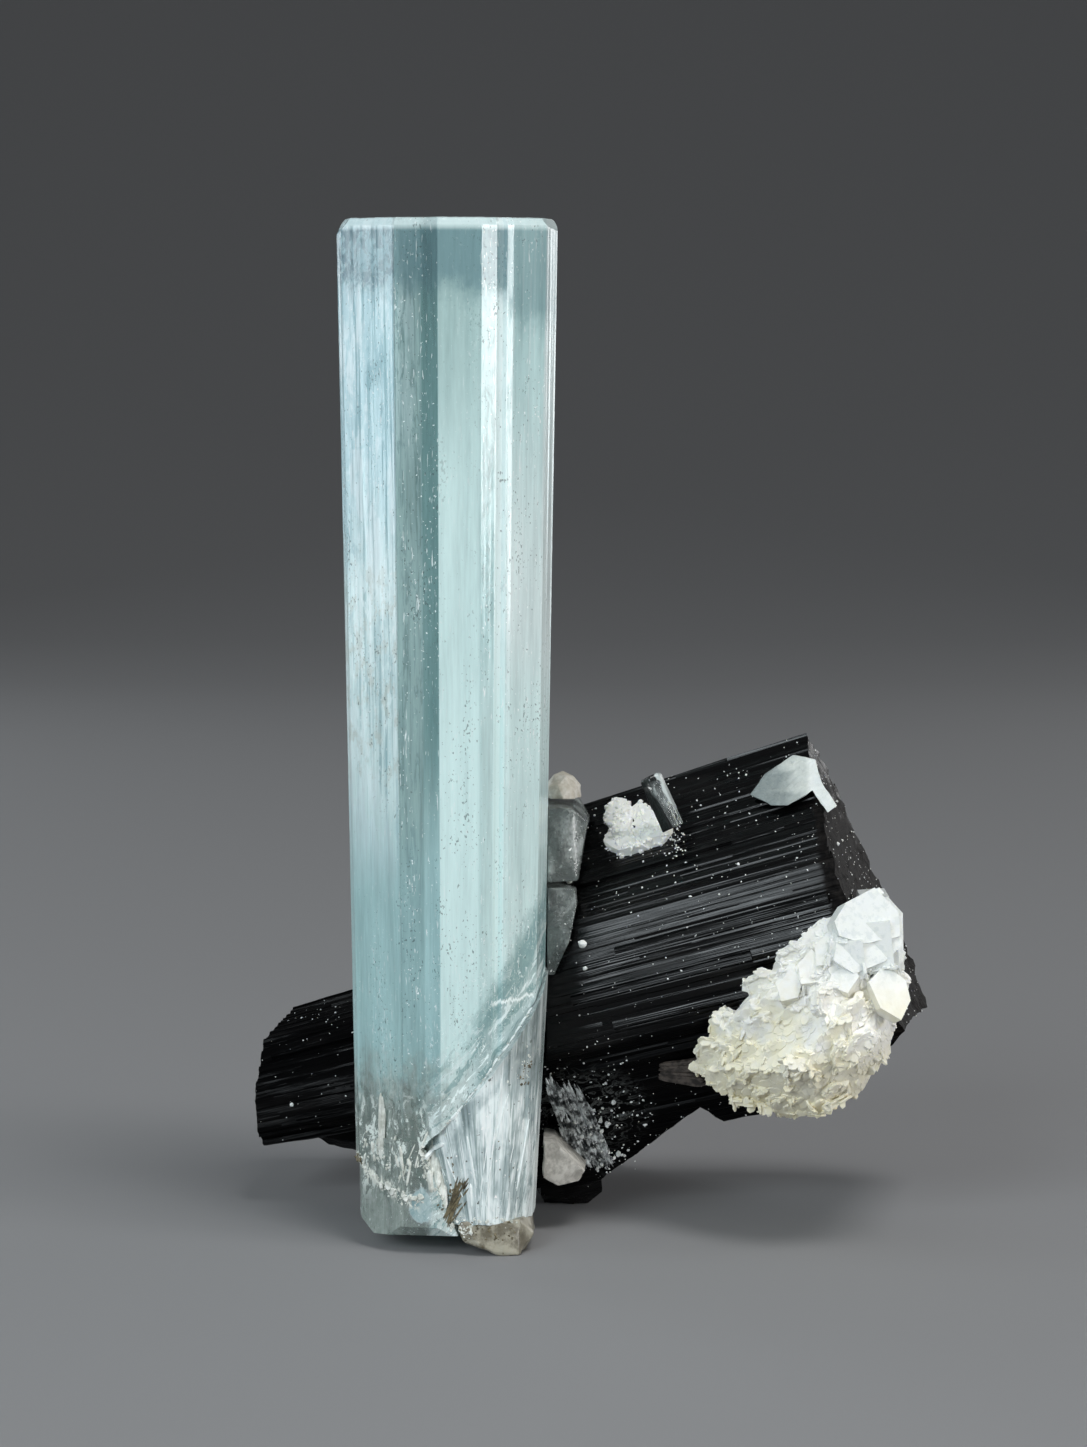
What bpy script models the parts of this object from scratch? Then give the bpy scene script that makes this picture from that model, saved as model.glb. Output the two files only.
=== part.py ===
"""Aquamarine specimen: a tall beryl prism grown against a lying black tourmaline (schorl),
with white albite, clear quartz and feldspar on it.

Lengths are in millimetres until a mesh is made, which turns them into metres. +Z is up, +X is
to the right and -Y is the front. The aquamarine's axis is the Z axis, and the specimen
stands on z = 0.
"""

import math
import random

import bmesh
import bpy
from mathutils import Matrix, Vector
from mathutils.geometry import convex_hull_2d

MM = 0.001  # metres in a millimetre
GAP = 0.3  # clearance kept between pieces that touch
BASE = "specimen"  # the empty that every piece hangs from

# Aquamarine: section at the top, then how it narrows towards the root
HEIGHT = 90.2
NARROWING = 0.00176  # share of the width lost per millimetre down
TOP_RIM = 0.6  # height of the worn rim round the top
TOP_RIM_INSET = 0.05  # share of the width that the rim takes off
NUB_TOP = 3.0  # height of the pale lump under the root block
LEDGE_FOOT = 1.0  # how far down the main prism is drawn before its ragged end is broken off

# Tourmaline: a prism whose axis climbs to the right and comes forward
RISE = math.radians(16.5)
SWING = math.radians(12.0)
SCHORL_CENTRE = Vector((15.8, 12.5, 22.9))
FLARE = 0.0029  # growth of the section per millimetre along the axis
RIDGE = 0.24  # height of the ridges along the faces
SCHORL_LEFT = -19.5
UNDERSIDE_RISE = 0.4  # lowest height of the long crystal, which its foot holds off the ground
SCHORL_RIGHT = 23.6

AXIS = Vector(
    (math.cos(RISE) * math.cos(SWING), -math.sin(SWING), math.sin(RISE) * math.cos(SWING))
).normalized()
ACROSS = Vector((math.sin(SWING), math.cos(SWING), 0.0))
UP = AXIS.cross(ACROSS)

# Middle of the specimen's footprint, which becomes the origin
FOOTPRINT_MIDDLE = Vector((12.85, 11.55, 0.0))

# Direction along which the outlines of thin growths are swept from front to back
INWARD = Vector((0.0, 0.996, -0.089))

# Corners of the aquamarine's section at the top, (x, y), round from the sharp front edge
BERYL_SECTION = [
    (-0.75, -10.6), (-1.8, -9.95), (-4.55, -9.25), (-4.8, -8.8), (-9.3, -4.6), (-9.75, -3.0),
    (-9.45, 2.4), (-7.2, 6.6), (-3.0, 9.4), (2.2, 10.2), (6.6, 7.9), (9.3, 3.4), (9.5, -1.8),
    (8.65, -5.0), (5.75, -7.85), (5.2, -8.15), (4.85, -7.8), (4.45, -8.15), (4.3, -8.8),
    (3.0, -9.6),
]

# Corners of the tourmaline's section, (up, across), round from the top ridge
SCHORL_SECTION = [
    (14.8, 1.0), (11.6, -3.2), (5.0, -11.0), (-1.2, -12.4), (-5.6, -11.2), (-13.0, -5.8),
    (-19.0, -1.0), (-17.6, 6.0), (-12.0, 11.5), (-5.0, 13.0), (4.0, 9.0), (12.8, 4.2),
]

# Corners of the smaller, stepped-down end on the left
SPUR_SECTION = [
    (2.4, 2.5), (1.8, -2.6), (-0.4, -4.6), (-2.8, -7.0), (-6.8, -7.2), (-8.5, -5.2),
    (-9.6, 4.0), (-8.6, 13.0), (-3.6, 16.0), (1.4, 14.0), (3.2, 9.0),
]


# ---------------------------------------------------------------- shapes and their joining


def material(name, colour, roughness, transmission=0.0, ior=1.5):
    made = bpy.data.materials.new(name)
    made.use_nodes = True
    shader = made.node_tree.nodes["Principled BSDF"]
    shader.inputs["Base Color"].default_value = (*colour, 1.0)
    shader.inputs["Roughness"].default_value = roughness
    shader.inputs["Metallic"].default_value = 0.0
    shader.inputs["Transmission Weight"].default_value = transmission
    shader.inputs["IOR"].default_value = ior
    return made


def add_object(name, shape, look=None):
    """An object in metres from a shape in millimetres. Without a look it is a hidden helper."""
    bmesh.ops.scale(shape, vec=(MM, MM, MM), verts=shape.verts)
    mesh = bpy.data.meshes.new(name)
    shape.to_mesh(mesh)
    shape.free()
    made = bpy.data.objects.new(name, mesh)
    bpy.context.scene.collection.objects.link(made)
    made.parent = bpy.data.objects[BASE]
    if look:
        mesh.materials.append(look)
    else:
        made.hide_render = True
        made.display_type = "WIRE"
    return made


def combine(body, operation, shapes, label):
    """Joins the shapes to the body, or cuts them from it."""
    group = bpy.data.collections.new(f"{body.name} {label}")
    bpy.context.scene.collection.children.link(group)
    for index, shape in enumerate(shapes):
        helper = add_object(f"{body.name} {label} {index}", shape)
        bpy.context.scene.collection.objects.unlink(helper)
        group.objects.link(helper)
    modifier = body.modifiers.new(label, "BOOLEAN")
    modifier.operation = operation
    modifier.operand_type = "COLLECTION"
    modifier.collection = group
    modifier.solver = "EXACT"


def join(body, shapes, label="growth"):
    combine(body, "UNION", shapes, label)


def cut(body, shapes, label="seat"):
    combine(body, "DIFFERENCE", shapes, label)


def loft(rings):
    """A closed solid through rings of points that all go round the same way."""
    shape = bmesh.new()
    loops = [[shape.verts.new(point) for point in ring] for ring in rings]
    count = len(loops[0])
    for lower, upper in zip(loops, loops[1:]):
        for i in range(count):
            j = (i + 1) % count
            shape.faces.new((lower[i], lower[j], upper[j], upper[i]))
    shape.faces.new(reversed(loops[0]))
    shape.faces.new(loops[-1])
    bmesh.ops.recalc_face_normals(shape, faces=shape.faces)
    return shape


def hull(points, clearance=0.0):
    """A closed solid with flat faces round the points, moved out by the clearance."""
    shape = bmesh.new()
    for point in points:
        if clearance:
            bmesh.ops.create_cube(
                shape, size=2.0 * clearance, matrix=Matrix.Translation(Vector(point))
            )
        else:
            shape.verts.new(point)
    bmesh.ops.delete(shape, geom=shape.edges[:], context="EDGES_FACES")
    made = bmesh.ops.convex_hull(shape, input=shape.verts)
    inside = [item for item in made["geom_interior"] if isinstance(item, bmesh.types.BMVert)]
    bmesh.ops.delete(shape, geom=inside, context="VERTS")
    bmesh.ops.recalc_face_normals(shape, faces=shape.faces)
    return shape


def shave(shape, point, normal):
    """Takes off the side of a plane that its normal points to, and closes the cut flat."""
    parts = shape.verts[:] + shape.edges[:] + shape.faces[:]
    cut_through = bmesh.ops.bisect_plane(
        shape, geom=parts, plane_co=point, plane_no=normal, clear_outer=True, dist=1e-6
    )
    rim = [item for item in cut_through["geom_cut"] if isinstance(item, bmesh.types.BMEdge)]
    bmesh.ops.edgeloop_fill(shape, edges=rim)
    bmesh.ops.recalc_face_normals(shape, faces=shape.faces)
    return shape


def grown(outline, distance):
    """The outline's convex outer shape, moved out by the distance."""
    corners = [Vector(outline[index]) for index in convex_hull_2d([Vector(p) for p in outline])]
    area = sum(a.cross(b) for a, b in zip(corners, corners[1:] + corners[:1]))
    turn = 1.0 if area > 0 else -1.0
    moved = []
    for before, here, after in zip(corners[-1:] + corners, corners, corners[1:] + corners[:1]):
        first = (here - before).normalized()
        second = (after - here).normalized()
        out_first = Vector((first.y, -first.x)) * turn
        out_second = Vector((second.y, -second.x)) * turn
        middle = (out_first + out_second).normalized()
        moved.append(here + middle * distance / middle.dot(out_first))
    return moved


def striated(corners, pitch, height, rng):
    """The outline through the corners, with small ridges and furrows along its sides."""
    points = []
    for start, end in zip(corners, corners[1:] + corners[:1]):
        start = Vector(start)
        end = Vector(end)
        side = end - start
        out = Vector((-side.y, side.x)).normalized()
        strips = max(1, round(side.length / pitch))
        points.append(start)
        for i in range(1, strips):
            share = (i + rng.uniform(-0.3, 0.3)) / strips
            points.append(start + side * share + out * rng.uniform(-height, height))
    return points


# ---------------------------------------------------------------- aquamarine and its root


def beryl_ring(outline, z, share=1.0):
    scale = share * (1.0 - NARROWING * (HEIGHT - z))
    return [(x * scale, y * scale, z) for x, y in outline]


def beryl_cutter():
    """The aquamarine's outer shape with clearance all round, for the pieces behind it."""
    outline = grown(BERYL_SECTION, GAP)
    return loft([beryl_ring(outline, z) for z in (-5.0, HEIGHT + 5.0)])


# The inclined break across the root: it rises to the right and to the back
BREAK_POINT = Vector((-2.4, -9.0, 9.2))
BREAK_NORMAL = Vector((10.9, 0.0, 11.9)).cross(Vector((0.0, 1.0, 0.4))).normalized()
# The steep side of the broken-in root block
SPLIT_NORMAL = Vector((2.9, 0.0, -7.0)).cross(Vector((0.15, 1.0, 0.0))).normalized()
if BREAK_NORMAL.x > 0:
    BREAK_NORMAL.negate()
if SPLIT_NORMAL.x > 0:
    SPLIT_NORMAL.negate()


def root_wedge():
    """The space right of and below the break, which the root block fills."""
    shape = bmesh.new()
    bmesh.ops.create_cube(shape, size=80.0)
    shave(shape, BREAK_POINT, BREAK_NORMAL)
    return shave(shape, BREAK_POINT, SPLIT_NORMAL)


def ragged_end():
    """The main prism broken off low down on three uneven planes."""
    shape = loft(
        [
            beryl_ring(BERYL_SECTION, LEDGE_FOOT),
            beryl_ring(BERYL_SECTION, HEIGHT - TOP_RIM),
            beryl_ring(BERYL_SECTION, HEIGHT, 1.0 - TOP_RIM_INSET),
        ]
    )
    shave(shape, Vector((-9.2, -3.0, 89.0)), Vector((-0.8, -0.1, 0.6)))
    shave(shape, Vector((9.0, -3.0, 89.0)), Vector((0.8, -0.15, 0.6)))
    shave(shape, Vector((-8.0, -5.0, 7.6)), Vector((-0.5, -0.15, -1.0)))
    shave(shape, Vector((-4.0, -9.0, 4.9)), Vector((-0.2, -0.55, -1.0)))
    return shave(shape, Vector((-3.0, 6.0, 4.0)), Vector((-0.45, 0.5, -1.0)))


def stub():
    """The clear end below the ledge, narrower and bevelled, standing on its back edge."""
    outline = [
        (-8.0, -2.6), (-7.75, -4.4), (-4.3, -8.1), (-1.0, -8.9), (1.9, -8.2), (3.4, -5.0),
        (3.2, 4.0), (0.5, 7.6), (-3.4, 7.6), (-6.6, 4.8),
    ]
    shape = loft([[(x, y, z) for x, y in outline] for z in (-2.0, 10.0)])
    shave(shape, Vector((0.0, 7.6, 0.0)), Vector((0.0, -0.105, -1.0)))
    shave(shape, Vector((-7.7, -4.0, 2.4)), Vector((-0.78, -0.1, -0.62)))
    return shave(shape, Vector((-4.0, -8.2, 2.5)), Vector((-0.2, -0.85, -0.75)))


def build_aquamarine(look):
    body = add_object("aquamarine_crystal", ragged_end(), look)
    join(body, [stub()])
    cut(body, [root_wedge()], "root break")


def build_root_block(look):
    """The colourless striated block under the break; its ribs fan out upwards."""
    rng = random.Random(11)
    lower = [
        (-1.2, -6.6), (0.6, -8.6), (2.0, -8.9), (3.6, -8.5), (5.4, -8.0), (6.3, -6.8),
        (7.4, -3.0), (7.5, 2.0), (5.6, 6.2), (1.6, 7.8), (-1.0, 4.0),
    ]
    upper = [
        (-4.2, -6.8), (-2.0, -8.9), (1.6, -9.5), (5.2, -8.4), (7.4, -6.2), (8.3, -4.4),
        (8.6, -1.6), (8.3, 2.6), (5.8, 6.6), (1.4, 8.4), (-3.6, 5.0),
    ]
    ribs = [rng.uniform(-0.28, 0.28) for _ in range(80)]
    rings = []
    for corners, z in ((lower, NUB_TOP + GAP), (upper, 24.0)):
        points = striated(corners, 0.95, 0.0, random.Random(3))
        centre = Vector((2.2, 0.0))
        rings.append(
            [(*(point + (point - centre).normalized() * rib), z) for point, rib in zip(points, ribs)]
        )
    shape = loft(rings)
    shave(shape, BREAK_POINT - BREAK_NORMAL * GAP, BREAK_NORMAL)
    shave(shape, BREAK_POINT - SPLIT_NORMAL * GAP, SPLIT_NORMAL)
    add_object("clear_root_block", shape, look)


def build_foot_nub(look):
    """The pale broken lump that the root block ends in; its tip stands on the ground."""
    shape = hull(
        [
            (4.2, -9.0, 0.0), (6.2, -8.8, 0.0), (6.6, -6.0, 0.0), (4.6, -5.6, 0.0),
            (0.3, -8.6, 1.6), (2.9, -9.3, 0.8), (7.3, -6.6, 1.5), (7.4, -2.0, 1.2),
            (0.2, -4.0, 1.4), (2.0, 3.0, 1.2), (6.4, 4.6, 1.6),
            (1.0, -8.7, NUB_TOP), (6.2, -7.8, NUB_TOP), (7.2, -3.0, NUB_TOP), (6.6, 4.0, NUB_TOP),
            (1.0, 2.0, NUB_TOP), (0.6, -4.0, NUB_TOP),
        ]
    )
    shave(shape, BREAK_POINT - SPLIT_NORMAL * GAP, SPLIT_NORMAL)
    add_object("foot_nub", shape, look)


# ---------------------------------------------------------------- tourmaline


def on_schorl(along, up, across):
    return SCHORL_CENTRE + AXIS * along + UP * up + ACROSS * across


def schorl_ring(outline, along, share=1.0):
    scale = share * (1.0 + FLARE * along)
    return [on_schorl(along, up * scale, across * scale) for up, across in outline]


def schorl_prism(outline, stations):
    """A prism along the tourmaline's axis, through (place along the axis, width) stations."""
    return loft([schorl_ring(outline, along, share) for along, share in stations])


def shave_schorl_ends(shape, clearance=0.0):
    shave(
        shape,
        on_schorl(SCHORL_RIGHT + clearance, 0.0, -11.0),
        AXIS + ACROSS * 0.05 + UP * 0.09,
    )
    return shave(shape, on_schorl(SCHORL_LEFT, 0.0, 0.0), UP * 0.35 - AXIS)


def schorl_cutter():
    """The tourmaline's outer shape with clearance over its ridges, for what grows on it."""
    outline = grown(SCHORL_SECTION, GAP + RIDGE)
    shape = schorl_prism(outline, [(-26.0, 1.0), (30.0, 1.0)])
    return shave_schorl_ends(shape, GAP)


def schorl_foot(clearance=0.0):
    """The broken lump under the tourmaline, flat where it stands on the ground."""
    c = clearance
    return hull(
        [
            (8.3 - c, 15.0 - c, 0.0 - c), (11.0, 14.0 - c, 0.0 - c), (14.2 + c, 15.2 - c, 0.0 - c),
            (18.4 + c, 31.0, 0.0 - c), (7.0 - c, 30.0, 0.0 - c),
            (7.6 - c, 11.0 - c, 4.0), (13.0 + c, 10.0 - c, 4.2), (14.6 + c, 12.8 - c, 2.0),
            (20.0, 28.0, 9.0), (18.0, 20.0, 12.0), (5.0, 27.0, 10.0), (7.0, 14.0, 12.0),
        ]
    )


def heel():
    """The rough lump between the foot and the tourmaline's back."""
    return hull(
        [
            (17.0, 16.0, 4.0), (21.5, 18.0, 7.0), (22.0, 25.0, 12.0), (19.5, 31.5, 3.0),
            (16.0, 33.0, 1.2), (8.0, 32.6, 2.0), (4.0, 30.0, 8.0), (2.0, 24.0, 10.0),
            (3.0, 16.0, 6.0), (12.0, 32.0, 8.0), (10.0, 20.0, 14.0), (18.0, 22.0, 14.0),
        ]
    )


def side_columns():
    """Slender parallel columns that stand out of the tourmaline's faces as ledges."""
    columns = []
    for start, end, up, across, width in (
        (-8.0, 23.0, 5.2, -10.45, 0.7), (2.0, 22.0, 1.8, -11.5, 0.8), (-3.0, 14.0, -1.2, -12.1, 0.6),
        (0.0, 20.0, -4.2, -11.5, 0.7), (-6.0, 8.0, -7.6, -9.5, 0.7), (-12.0, 22.0, 8.4, 6.2, 1.4),
        (-16.0, 16.0, 3.2, 9.0, 1.6), (-14.0, 21.0, -5.4, 12.4, 1.5), (-10.0, 19.0, -12.4, 10.7, 1.3),
        (-15.0, 12.0, -16.0, 7.6, 1.1), (-34.0, -14.0, -2.8, -6.7, 0.6), (-33.0, -16.0, 0.2, -3.9, 0.7),
        (-33.5, -15.0, 1.8, 6.0, 1.2), (-34.0, -17.0, -2.0, 14.8, 1.5),
    ):
        outline = [
            (up + width * math.sin(angle), across + 0.8 * width * math.cos(angle))
            for angle in (0.2, 1.4, 2.5, 3.6, 5.0)
        ]
        columns.append(schorl_prism(outline, [(start, 0.985), (end, 1.0)]))
    return columns


def lower_break():
    """What is missing from the tourmaline's underside: an uneven break on the right."""
    outline = [
        (13.6, 3.2), (22.4, 10.4), (24.6, 9.0), (28.6, 10.0), (36.0, 12.8), (40.6, 18.4),
        (46.0, 19.0), (46.0, -12.0), (13.6, -12.0),
    ]
    rings = []
    for depth, drop in ((-30.0, 2.2), (8.0, 0.0), (60.0, -5.0)):
        rings.append([(x, depth, z + drop) for x, z in outline])
    return loft(rings)


def build_schorl(look):
    rng = random.Random(5)
    main = striated(SCHORL_SECTION, 1.15, RIDGE, rng)
    stations = [(-30.0, 1.0), (-3.0, 1.0), (9.0, 1.0), (32.0, 1.0)]
    shape = shave_schorl_ends(schorl_prism(main, stations))
    shave(shape, Vector((0.0, 0.0, UNDERSIDE_RISE)), Vector((0.0, 0.0, -1.0)))
    body = add_object("schorl_crystal", shape, look)
    spur = striated(SPUR_SECTION, 1.3, 0.3, rng)
    spur_shape = schorl_prism(
        spur, [(-40.0, 0.98), (-34.0, 1.0), (-30.0, 1.02), (-25.5, 1.12), (-10.0, 1.16)]
    )
    shave(spur_shape, on_schorl(-36.4, -5.8, -6.0), -AXIS + UP * 0.22)
    shave(spur_shape, on_schorl(-35.9, -5.5, -7.4), -AXIS - ACROSS * 0.9 - UP * 0.25)
    underside = hull(
        [
            on_schorl(-32.8, -8.2, -2.0), on_schorl(-30.6, -10.2, -1.0),
            on_schorl(-28.6, -11.0, -1.0), on_schorl(-19.0, -12.8, -4.0),
            on_schorl(-31.0, -9.0, 9.0), on_schorl(-26.0, -11.2, 9.0),
            on_schorl(-15.0, -15.0, 9.0), on_schorl(-24.0, -2.0, -5.0),
            on_schorl(-15.0, 0.0, 0.0), on_schorl(-16.0, 0.0, 9.0),
        ]
    )
    join(body, [spur_shape, underside, schorl_foot(), heel()] + side_columns())
    cut(body, [lower_break()], "lower break")
    cut(body, [beryl_cutter()], "aquamarine seat")


# ---------------------------------------------------------------- what grows on the tourmaline


def sheet(outline, depth, point, normal, thickness):
    """A thin growth with the (x, z) outline, lying on the plane through the point."""
    front = [Vector((x, depth, z)) - INWARD * 25.0 for x, z in outline]
    back = [place + INWARD * 50.0 for place in front]
    shape = loft([front, back])
    normal = normal.normalized()
    shave(shape, point + normal * thickness, normal)
    return shave(shape, point - normal * 0.5, -normal)


def onto(point, plane_point, normal):
    """The point moved along the sweep direction until it lies on the plane."""
    return point + INWARD * ((plane_point - point).dot(normal) / INWARD.dot(normal))


def plate(centre, normal, width, thickness, turn):
    """A six-cornered flake of feldspar, thinner at one side."""
    normal = normal.normalized()
    side = normal.orthogonal().normalized()
    other = normal.cross(side)
    points = []
    for i in range(6):
        angle = turn + i * math.pi / 3.0
        reach = width * (0.62 if i % 3 == 0 else 0.5)
        out = side * math.cos(angle) * reach + other * math.sin(angle) * reach * 0.8
        points.append(centre + out - normal * thickness)
        points.append(centre + out * 0.86 + normal * thickness * (0.5 + 0.1 * math.cos(angle)))
    return hull(points)


def spread(shape, count, rng, wanted):
    """Random (point, normal) pairs over the faces of a shape, kept where they are wanted."""
    shape.faces.ensure_lookup_table()
    faces = shape.faces[:]
    areas = [face.calc_area() for face in faces]
    found = []
    while len(found) < count:
        face = rng.choices(faces, areas)[0]
        a, b, c = (loop.vert.co for loop in face.loops)
        u = rng.random()
        v = rng.random()
        if u + v > 1.0:
            u = 1.0 - u
            v = 1.0 - v
        point = a + (b - a) * u + (c - a) * v
        if wanted(point, face.normal):
            found.append((point, face.normal.copy()))
    return found


def clear_of_schorl(point, margin):
    """Whether the point lies outside the tourmaline's section, or past its right end."""
    offset = point - SCHORL_CENTRE
    along = offset.dot(AXIS)
    if along > SCHORL_RIGHT + margin:
        return True
    scale = 1.0 + FLARE * along
    place = Vector((offset.dot(UP), offset.dot(ACROSS)))
    corners = [corner * scale for corner in grown(SCHORL_SECTION, margin)]
    sides = [
        (b - a).cross(place - a) for a, b in zip(corners, corners[1:] + corners[:1])
    ]
    return min(sides) < 0.0 < max(sides)


FACE_A = on_schorl(0.0, 8.2, -7.2)  # on the upper front face
FACE_A_OUT = UP * 0.78 - ACROSS * 0.66
FACE_D = on_schorl(0.0, -9.4, -8.6)  # on the lower front face
FACE_D_OUT = -UP * 0.62 - ACROSS * 0.80


def on_open_front(point, normal):
    """Where flakes grow on the cluster: all over its front but for the smooth upper right."""
    smooth = point.z > 24.5 and point.x > 33.0
    return normal.y < 0.35 and not smooth and clear_of_schorl(point, 1.3)


def build_albite_cluster(look):
    """The big white cluster on the lower right: a lumpy mass covered in overlapping flakes."""
    rng = random.Random(21)
    core = hull(
        [
            (37.8, -3.0, 31.7), (39.9, -3.0, 29.4), (39.8, -5.5, 25.6), (38.6, -7.0, 24.0),
            (39.6, -3.0, 21.8), (38.6, -5.0, 17.6), (36.0, -5.0, 13.8), (32.6, -4.5, 11.6),
            (29.6, -3.5, 11.6), (25.6, -2.0, 12.4), (22.8, -1.0, 14.4), (22.8, -2.0, 17.6),
            (25.0, -4.0, 20.2), (28.0, -5.5, 23.4), (30.4, -5.5, 27.2), (33.4, -4.5, 30.0),
            (33.0, -10.5, 21.0), (31.0, -10.0, 17.0), (35.6, -9.5, 18.0), (34.0, -9.0, 25.6),
            (27.4, -7.4, 16.2), (36.0, 6.0, 28.0), (39.6, 4.0, 24.0), (38.0, 6.0, 16.0),
            (30.0, 8.0, 12.0), (24.0, 6.0, 15.0),
        ]
    )
    flakes = []
    for point, normal in spread(core, 92, rng, on_open_front):
        lean = (normal + Vector((0.25, -0.35, -0.75)) * rng.uniform(0.2, 1.0)).normalized()
        flakes.append(
            plate(
                point - normal * rng.uniform(0.0, 0.5),
                lean,
                rng.uniform(2.4, 4.4),
                rng.uniform(0.35, 0.6),
                rng.uniform(0.0, 6.3),
            )
        )
    steps = [
        hull(
            [
                (x + dx, y + dy, z + dz)
                for dx, dz in ((-w, -w), (w, -0.7 * w), (0.8 * w, w), (-0.7 * w, 0.9 * w))
                for dy in (-0.9, 5.0)
            ]
        )
        for x, y, z, w in (
            (36.4, -7.4, 27.0, 2.4), (37.6, -6.2, 24.6, 2.0), (34.4, -8.4, 26.0, 1.9),
            (37.2, -4.6, 29.6, 1.6),
        )
    ]
    body = add_object("albite_cluster", core, look)
    join(body, flakes + steps)
    cut(body, [schorl_cutter()])


def build_albite_plate(look):
    outline = [
        (26.9, 39.5), (28.2, 41.3), (30.7, 43.0), (32.6, 42.6), (33.2, 40.4), (34.2, 38.6),
        (33.4, 38.0), (32.2, 39.9), (30.0, 38.6), (28.6, 38.6),
    ]
    shape = sheet(outline, 0.0, FACE_A, FACE_A_OUT, RIDGE + GAP + 1.1)
    body = add_object("albite_plate", shape, look)
    cut(body, [schorl_cutter()])


def build_albite_patch(look):
    rng = random.Random(8)
    outline = [
        (13.9, 35.6), (15.1, 37.6), (17.8, 37.2), (20.2, 36.0), (19.6, 34.7), (16.9, 34.0),
        (14.4, 33.8),
    ]
    shape = sheet(outline, 4.0, FACE_A, FACE_A_OUT, RIDGE + GAP + 1.2)
    flakes = []
    lift = FACE_A_OUT.normalized() * (RIDGE + GAP + 0.9)
    for x, z in ((14.8, 36.2), (15.6, 34.6), (16.6, 36.8), (17.2, 35.0), (18.4, 36.2), (19.0, 35.2)):
        centre = onto(Vector((x, 0.0, z)), FACE_A, FACE_A_OUT) + lift
        lean = FACE_A_OUT + Vector((rng.uniform(-0.5, 0.5), 0.0, rng.uniform(-0.4, 0.4)))
        flakes.append(plate(centre, lean, rng.uniform(1.8, 2.6), 0.5, rng.uniform(0.0, 6.3)))
    body = add_object("albite_patch", shape, look)
    join(body, flakes)
    cut(body, [schorl_cutter(), small_prism(1.2 * GAP)])


def hexagonal_prism(foot, tip, radius):
    """A six-sided crystal from its foot to its flat tip."""
    axis = (tip - foot).normalized()
    side = axis.cross(Vector((0.0, 1.0, 0.0))).normalized()
    other = axis.cross(side)
    rings = []
    for place, size in ((foot, 1.0), (tip - axis * 0.25, 1.0), (tip, 0.86)):
        ring = []
        for i in range(6):
            angle = math.radians(60.0 * i + 18.0)
            ring.append(place + (side * math.cos(angle) + other * math.sin(angle)) * radius * size)
        rings.append(ring)
    return loft(rings)


def small_prism(clearance=0.0):
    foot = Vector((19.9, 4.6, 36.1))
    tip = Vector((17.8, 5.2, 40.7))
    return hexagonal_prism(foot, tip, 1.1 + clearance)


def build_small_beryl(look):
    body = add_object("small_beryl", small_prism(), look)
    cut(body, [schorl_cutter()])


def build_quartz_blocks(look):
    upper = hull(
        [
            (8.0, 4.0, 38.0), (10.8, 3.4, 37.9), (12.2, 4.4, 36.6), (12.0, 4.6, 35.4),
            (11.3, 2.6, 31.6), (8.0, 2.4, 31.4), (8.0, 13.0, 38.2), (11.4, 14.0, 38.0),
            (12.6, 14.0, 36.4), (11.6, 13.0, 30.5), (8.0, 13.0, 30.5), (9.8, 2.5, 34.0),
        ]
    )
    body = add_object("quartz_block_upper", upper, look)
    cut(body, [schorl_cutter(), beryl_cutter()])
    lower = hull(
        [
            (8.0, 2.0, 31.0), (11.0, 2.2, 30.9), (11.2, 1.8, 29.4), (10.5, 0.9, 26.3),
            (9.2, 1.0, 23.3), (8.0, 1.2, 23.3), (8.0, 12.0, 30.9), (11.6, 12.0, 30.2),
            (10.4, 8.0, 25.0), (8.0, 8.0, 24.0),
        ]
    )
    body = add_object("quartz_block_lower", lower, look)
    cut(body, [schorl_cutter(), beryl_cutter()])


def build_feldspar_knob(look):
    shape = bmesh.new()
    bmesh.ops.create_icosphere(shape, subdivisions=2, radius=1.0)
    for vert in shape.verts:
        vert.co = Vector((10.0, 8.5, 38.6)) + Vector(
            (vert.co.x * 1.75, vert.co.y * 2.6, vert.co.z * 2.2)
        )
    shave(shape, Vector((10.0, 8.0, 38.0 + GAP + 0.2)), Vector((0.0, 0.0, -1.0)))
    body = add_object("feldspar_knob", shape, look)
    cut(body, [beryl_cutter(), schorl_cutter()])


def build_albite_crust(look):
    """Pale fibres fanning down the lower front face from beside the aquamarine."""
    outline = [
        (8.9, 14.6), (10.4, 13.0), (12.0, 9.4), (14.5, 4.6), (13.8, 3.7), (11.6, 5.4),
        (9.6, 8.4), (8.6, 11.0),
    ]
    shape = sheet(outline, 2.0, FACE_D, FACE_D_OUT, RIDGE + GAP + 0.7)
    fibres = []
    for i in range(7):
        share = i / 6.0
        lift = FACE_D_OUT.normalized() * (RIDGE + GAP + 0.55)
        top = onto(Vector((9.4 + 1.3 * share, 0.0, 12.2 + 0.6 * share)), FACE_D, FACE_D_OUT) + lift
        foot = onto(Vector((12.6 + 1.6 * share, 0.0, 4.9 + 0.9 * share)), FACE_D, FACE_D_OUT) + lift
        fibres.append(hexagonal_prism(top, foot, 0.36 + 0.1 * (i % 2)))
    body = add_object("albite_crust", shape, look)
    join(body, fibres)
    cut(body, [schorl_cutter(), beryl_cutter(), schorl_foot(GAP), matrix_block(GAP)])


def matrix_block(clearance=0.0):
    return hull(
        [
            (8.2, 0.6, 8.2), (11.6, 1.6, 8.0), (12.2, 2.6, 5.8), (11.4, 2.6, 4.4),
            (9.6, 1.6, 4.2), (8.2, 1.0, 5.0), (8.4, 9.5, 8.4), (12.4, 9.0, 7.0),
            (12.0, 9.5, 4.6), (8.4, 9.5, 4.8),
        ],
        clearance,
    )


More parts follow.
